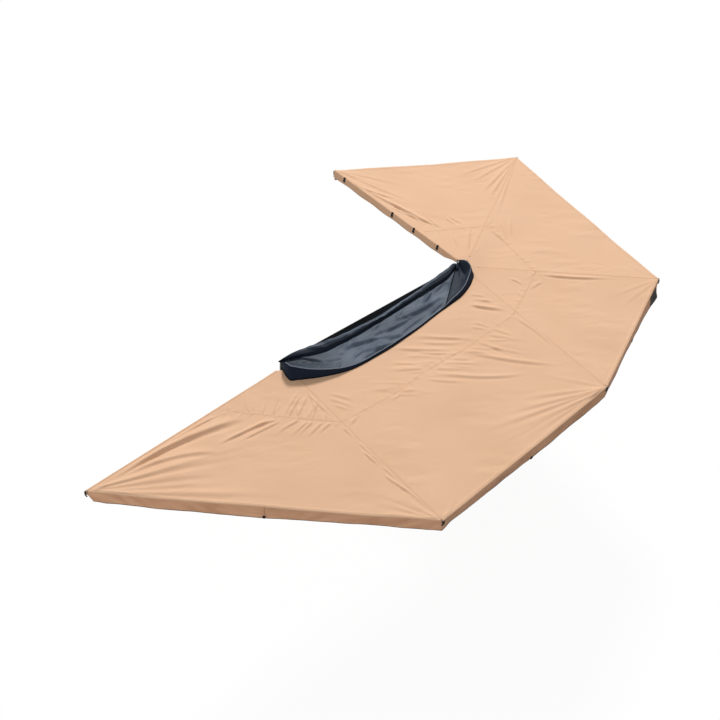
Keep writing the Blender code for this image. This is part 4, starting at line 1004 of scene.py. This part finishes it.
def make_cover():
    """The open cover: hinge line, flat hem in black as painted shade, crest, valley, broad flap, rim and outer
    wall.
    """
    hinge, (crest, valley, flap, rim, edge), heights = cover_controls()
    folds = cover_folds()
    place = np.linspace(0, 1, COVER_COLUMNS)
    from_end = np.minimum(place, 1 - place)
    ripple = sum(size * np.sin(place * count + phase) for size, count, phase in CREST_RIPPLES)
    crest_top = heights[0] + ripple * smooth(from_end / 0.2)
    lip = heights[1] + LIP_RISE * smooth(from_end / 0.12)
    path = np.stack([hinge, hinge * 0.5 + crest * 0.5, crest, crest * 0.22 + valley * 0.78, valley,
                     valley * 0.88 + flap * 0.12, flap, rim])
    hinge_height = np.full(COVER_COLUMNS, COVER_LEVEL - COVER_BASE)
    level = COVER_BASE + np.stack([hinge_height, CREST_TOE * crest_top, crest_top, CREST_SHOULDER * crest_top,
                                   heights[1], lip, *heights[2:]])
    rows = []
    for share in COVER_SHARES:
        plan = soft_path(share, path)
        free = smooth((share - 0.10) / 0.08) * smooth((1.0 - share) / 0.05)
        height = soft_path(share, level) + stroke_heights(plan, folds) * free
        rows.append(with_level(plan, np.maximum(height, canopy_levels(plan, 0.0) + COVER_CLEARANCE)))
    rim_top = rows[-1]
    foot = with_level(edge, canopy_levels(edge) + EDGE_CLEARANCE)
    bulge = np.minimum(heights[3] / 0.1, 1)
    for share in WALL_SHARES:
        row = rim_top * (1 - share) + foot * share
        swelling = WALL_BULGE + WALL_RIPPLE * np.sin(place * WALL_RIPPLE_RATE + 2 * share)
        row[:, 2] += math.sin(math.pi * share) * bulge * swelling
        rows.append(row)
    grid = np.array(rows)
    return sheet_mesh("travel_cover_cloth", grid, COVER_THICKNESS), grid, rim_top, foot


def make_keder(name, track):
    """The bead that holds an edge in its track in the rail."""
    return tube(name, np.array([(x, track, TRACK_LEVEL) for x in np.linspace(-KEDER_HALF, KEDER_HALF, 60)]),
                KEDER_RADIUS)


cover_cloth, cover_grid, cover_rim, cover_foot = make_cover()
flap_rows = len(COVER_SHARES) - 1
crest_row, lip_row = COVER_SHARES.index(CREST_SHARE), COVER_SHARES.index(LIP_SHARE)
seam_column = np.argmin(np.linalg.norm(cover_foot[:, :2] - on_plane(END_SEAM_PIXEL, TRACK_LEVEL), axis=1))
# Inside PVC, with painted shade towards the cover's front end and rear pocket
dress(cover_cloth, PVC_INSIDE_AND_SHADE)
# Outer wall and underside in the darker outside PVC, partly painted shade
dress_rows(cover_cloth, PVC_OUTSIDE_AND_SHADE, cover_grid, flap_rows, flap_rows + len(WALL_SHARES), "front")
dress_rows(cover_cloth, PVC_OUTSIDE_AND_SHADE, cover_grid, 0, flap_rows, "back")
# Painted shade: black rows between the hinge and the crest
dress_rows(cover_cloth, PIPING_AND_SHADE, cover_grid, 0, HINGE_SHADE_ROWS, "front")
# Painted shade in the valley behind the crest
dress_rows(cover_cloth, PVC_VALLEY_SHADE, cover_grid, crest_row + 2, lip_row, "front")
# Painted shade on the flap of the rear end panel
dress_rows(cover_cloth, PVC_END_SHADE, cover_grid, lip_row, flap_rows, "front", (0, seam_column))
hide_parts("travel_cover")
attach(cover_cloth, "cover")
crest_line = cover_grid[crest_row, 10:-6]
end_line = cover_grid[12:flap_rows + 1, seam_column]
cover_trims = {
    tube("travel_cover_piping", cover_foot + (0, 0, 0.002), PIPING_RADIUS): PIPING_AND_SHADE,
    tube("travel_cover_rim_binding", cover_rim[4:-4] + (0, 0, 0.001), BINDING_RADIUS): BINDING,
    tube("travel_cover_crest_binding", crest_line + (0, 0, 0.0006), CREST_RADIUS, 6): BINDING,
    tube("travel_cover_end_seam", end_line + (0, 0, 0.0030), BINDING_RADIUS): PIPING_AND_SHADE,
    make_keder("travel_cover_keder", COVER_TRACK): PIPING_AND_SHADE}
for piece, material in cover_trims.items():
    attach(dress(piece, material), "cover")
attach(dress(make_keder("canopy_keder", CANOPY_TRACK), HEM), "base")


# Free edges, straps and tabs
def make_sleeve(name, side):
    """The canopy's free edge: cloth that turns over the last arm and hangs beside it."""
    arm = arm_lines[name]
    distance = np.linspace(SLEEVE_START, arm.reach - SLEEVE_END, int(arm.reach / SLEEVE_STEP))
    shortened = SLEEVE_HUB_SHARE + (1 - SLEEVE_HUB_SHARE) * smooth((distance - 0.08) / 0.20)
    across = left_of(arm.ahead) * side
    rows = []
    for aside, drop in SLEEVE_SECTION:
        plan = arm.out(distance[:, None]) + across * aside
        sway = SLEEVE_SWAY * np.sin(distance * SLEEVE_SWAY_RATE) * drop / SLEEVE_DROP
        height = arm.level(distance) + SLEEVE_LIFT - drop * shortened
        if aside < 0:
            height = canopy_levels(plan) + SLEEVE_LAP
        rows.append(with_level(plan + across * sway[:, None], height))
    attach(dress(sheet_mesh(f"{name}_edge_sleeve", np.array(rows), CLOTH_THICKNESS), HEM), name)


def make_strap(name, arm_name, distance):
    """A short black strap that holds the canopy's free edge to its arm."""
    arm = arm_lines[arm_name]
    places = distance + STRAP_WIDTH * np.linspace(-0.5, 0.5, 5)
    rows = [with_level(arm.out(places[:, None]) + left_of(arm.ahead) * aside, arm.level(places) - drop)
            for aside, drop in STRAP_SECTION]
    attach(dress(sheet_mesh(name, np.array(rows), 0.0016), WEBBING), arm_name)


def make_tab(name, centre, outward, width, top, bottom):
    """A black webbing loop that hangs from the canopy's edge."""
    section = ((-0.010, top - 0.0100), (0.001, top - 0.0075), (0.0055, top - 0.0115),
               (0.0065, (top + bottom) / 2), (0.0065, bottom + 0.005), (0.004, bottom + 0.001),
               (-0.001, bottom), (-0.006, bottom + 0.004))
    rows = [[(*(centre + outward * out + left_of(outward) * width * share), level) for share in TAB_SHARES]
            for out, level in section]
    return dress(sheet_mesh(name, np.array(rows), 0.0018), WEBBING)


make_sleeve("arm_6", 1)
make_sleeve("arm_1", -1)
last_arm = arm_lines["arm_6"]
for index, pixel in enumerate(STRAP_PIXELS):
    place = (on_plane(pixel, TRACK_LEVEL) - last_arm.pin) @ last_arm.ahead
    make_strap(f"arm_6_strap_{index + 1}", "arm_6", min(place, last_arm.reach - 0.04))
for name, arm in arm_lines.items():
    tab = make_tab(f"{name}_tip_tab", arm.corner, arm.ahead, TIP_TAB_WIDTH, arm.top, arm.top - TIP_TAB_DROP)
    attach(tab, name)
for panel, first, second in PANELS:
    a, b = arm_lines[first], arm_lines[second]
    edge = unit(b.corner - a.corner)
    middle = (a.corner + b.corner) / 2 + edge * TAB_SHIFT.get(panel, 0.0)
    outward = outward_normal(edge, a.pin, middle)
    low = (a.top + b.top) / 2 - SAG - VALANCE_DROP + (VALANCE_LIFT[2] if panel == "front" else 0.0)
    tab = make_tab(f"{panel}_edge_tab", middle + outward * (EDGE_TAB_GAP + VALANCE_FLARE[panel][2]), outward,
                   EDGE_TAB_WIDTH, low + EDGE_TAB_HEIGHT, low - 0.001)
    join_panel(tab, panel)


# Studio
def background_rays(tree):
    """1 for the rays that show the plain white surroundings: the camera's, and those in metal and glass."""
    path = node(tree, "LightPath", {})
    shown = path.outputs["Is Camera Ray"]
    for kind in ("Is Glossy Ray", "Is Transmission Ray"):
        shown = node(tree, "Math", {0: shown, 1: path.outputs[kind]}, operation="MAXIMUM").outputs[0]
    return shown


def mix_to_output(tree, output, share, first, second):
    mix = node(tree, "MixShader", {0: share, 1: first.outputs[0], 2: second.outputs[0]})
    tree.links.new(mix.outputs[0], tree.nodes[output].inputs["Surface"])


def make_floor():
    mesh = bpy.data.meshes.new("floor")
    corners = [(x * FLOOR_HALF, y * FLOOR_HALF, FLOOR_LEVEL) for x, y in ((-1, -1), (1, -1), (1, 1), (-1, 1))]
    mesh.from_pydata(corners, [], [(0, 1, 2, 3)])
    material, tree, shader = new_material("floor")
    shown = background_rays(tree)
    fill(tree, shader, {"Base Color": ramp(tree, shown, FLOOR_SHADE, WHITE), "Roughness": 0.9})
    glow = node(tree, "Emission", {"Strength": 1.0})
    share = node(tree, "Math", {0: shown, 1: FLOOR_GLOW}, operation="MULTIPLY").outputs[0]
    mix_to_output(tree, "Material Output", share, shader, glow)
    mesh.materials.append(material)
    new_object("floor", mesh)


def make_lamp(name, place, target, size, power):
    lamp = bpy.data.lights.new(name, "AREA")
    lamp.shape = "DISK"
    lamp.size = size
    lamp.energy = power
    holder = new_object(name, lamp)
    holder.location = place
    holder.rotation_mode = "QUATERNION"
    holder.rotation_quaternion = (Vector(target) - Vector(place)).to_track_quat("-Z", "Y")


def make_world():
    world = bpy.data.worlds.new("studio")
    bpy.context.scene.world = world
    world.use_nodes = True
    tree = world.node_tree
    soft = tree.nodes["Background"]
    fill(tree, soft, {"Color": WHITE, "Strength": WORLD_STRENGTH})
    white = node(tree, "Background", {"Color": WHITE, "Strength": 1.0})
    mix_to_output(tree, "World Output", background_rays(tree), soft, white)


def make_camera():
    data = bpy.data.cameras.new("camera")
    data.sensor_width = SENSOR
    data.lens = FOCAL_PIXELS * SENSOR / IMAGE_SIZE
    data.clip_end = 200.0
    camera = new_object("camera", data)
    axes = Matrix([Vector(axis) for axis in (CAMERA_RIGHT, -CAMERA_DOWN, -CAMERA_LOOK)])
    camera.matrix_world = Matrix.Translation(Vector(CAMERA_PLACE)) @ axes.transposed().to_4x4()
    bpy.context.scene.camera = camera


make_floor()
make_world()
for name, facts in LAMPS.items():
    make_lamp(name, *facts)
make_camera()
bpy.context.scene.view_settings.view_transform = "Standard"
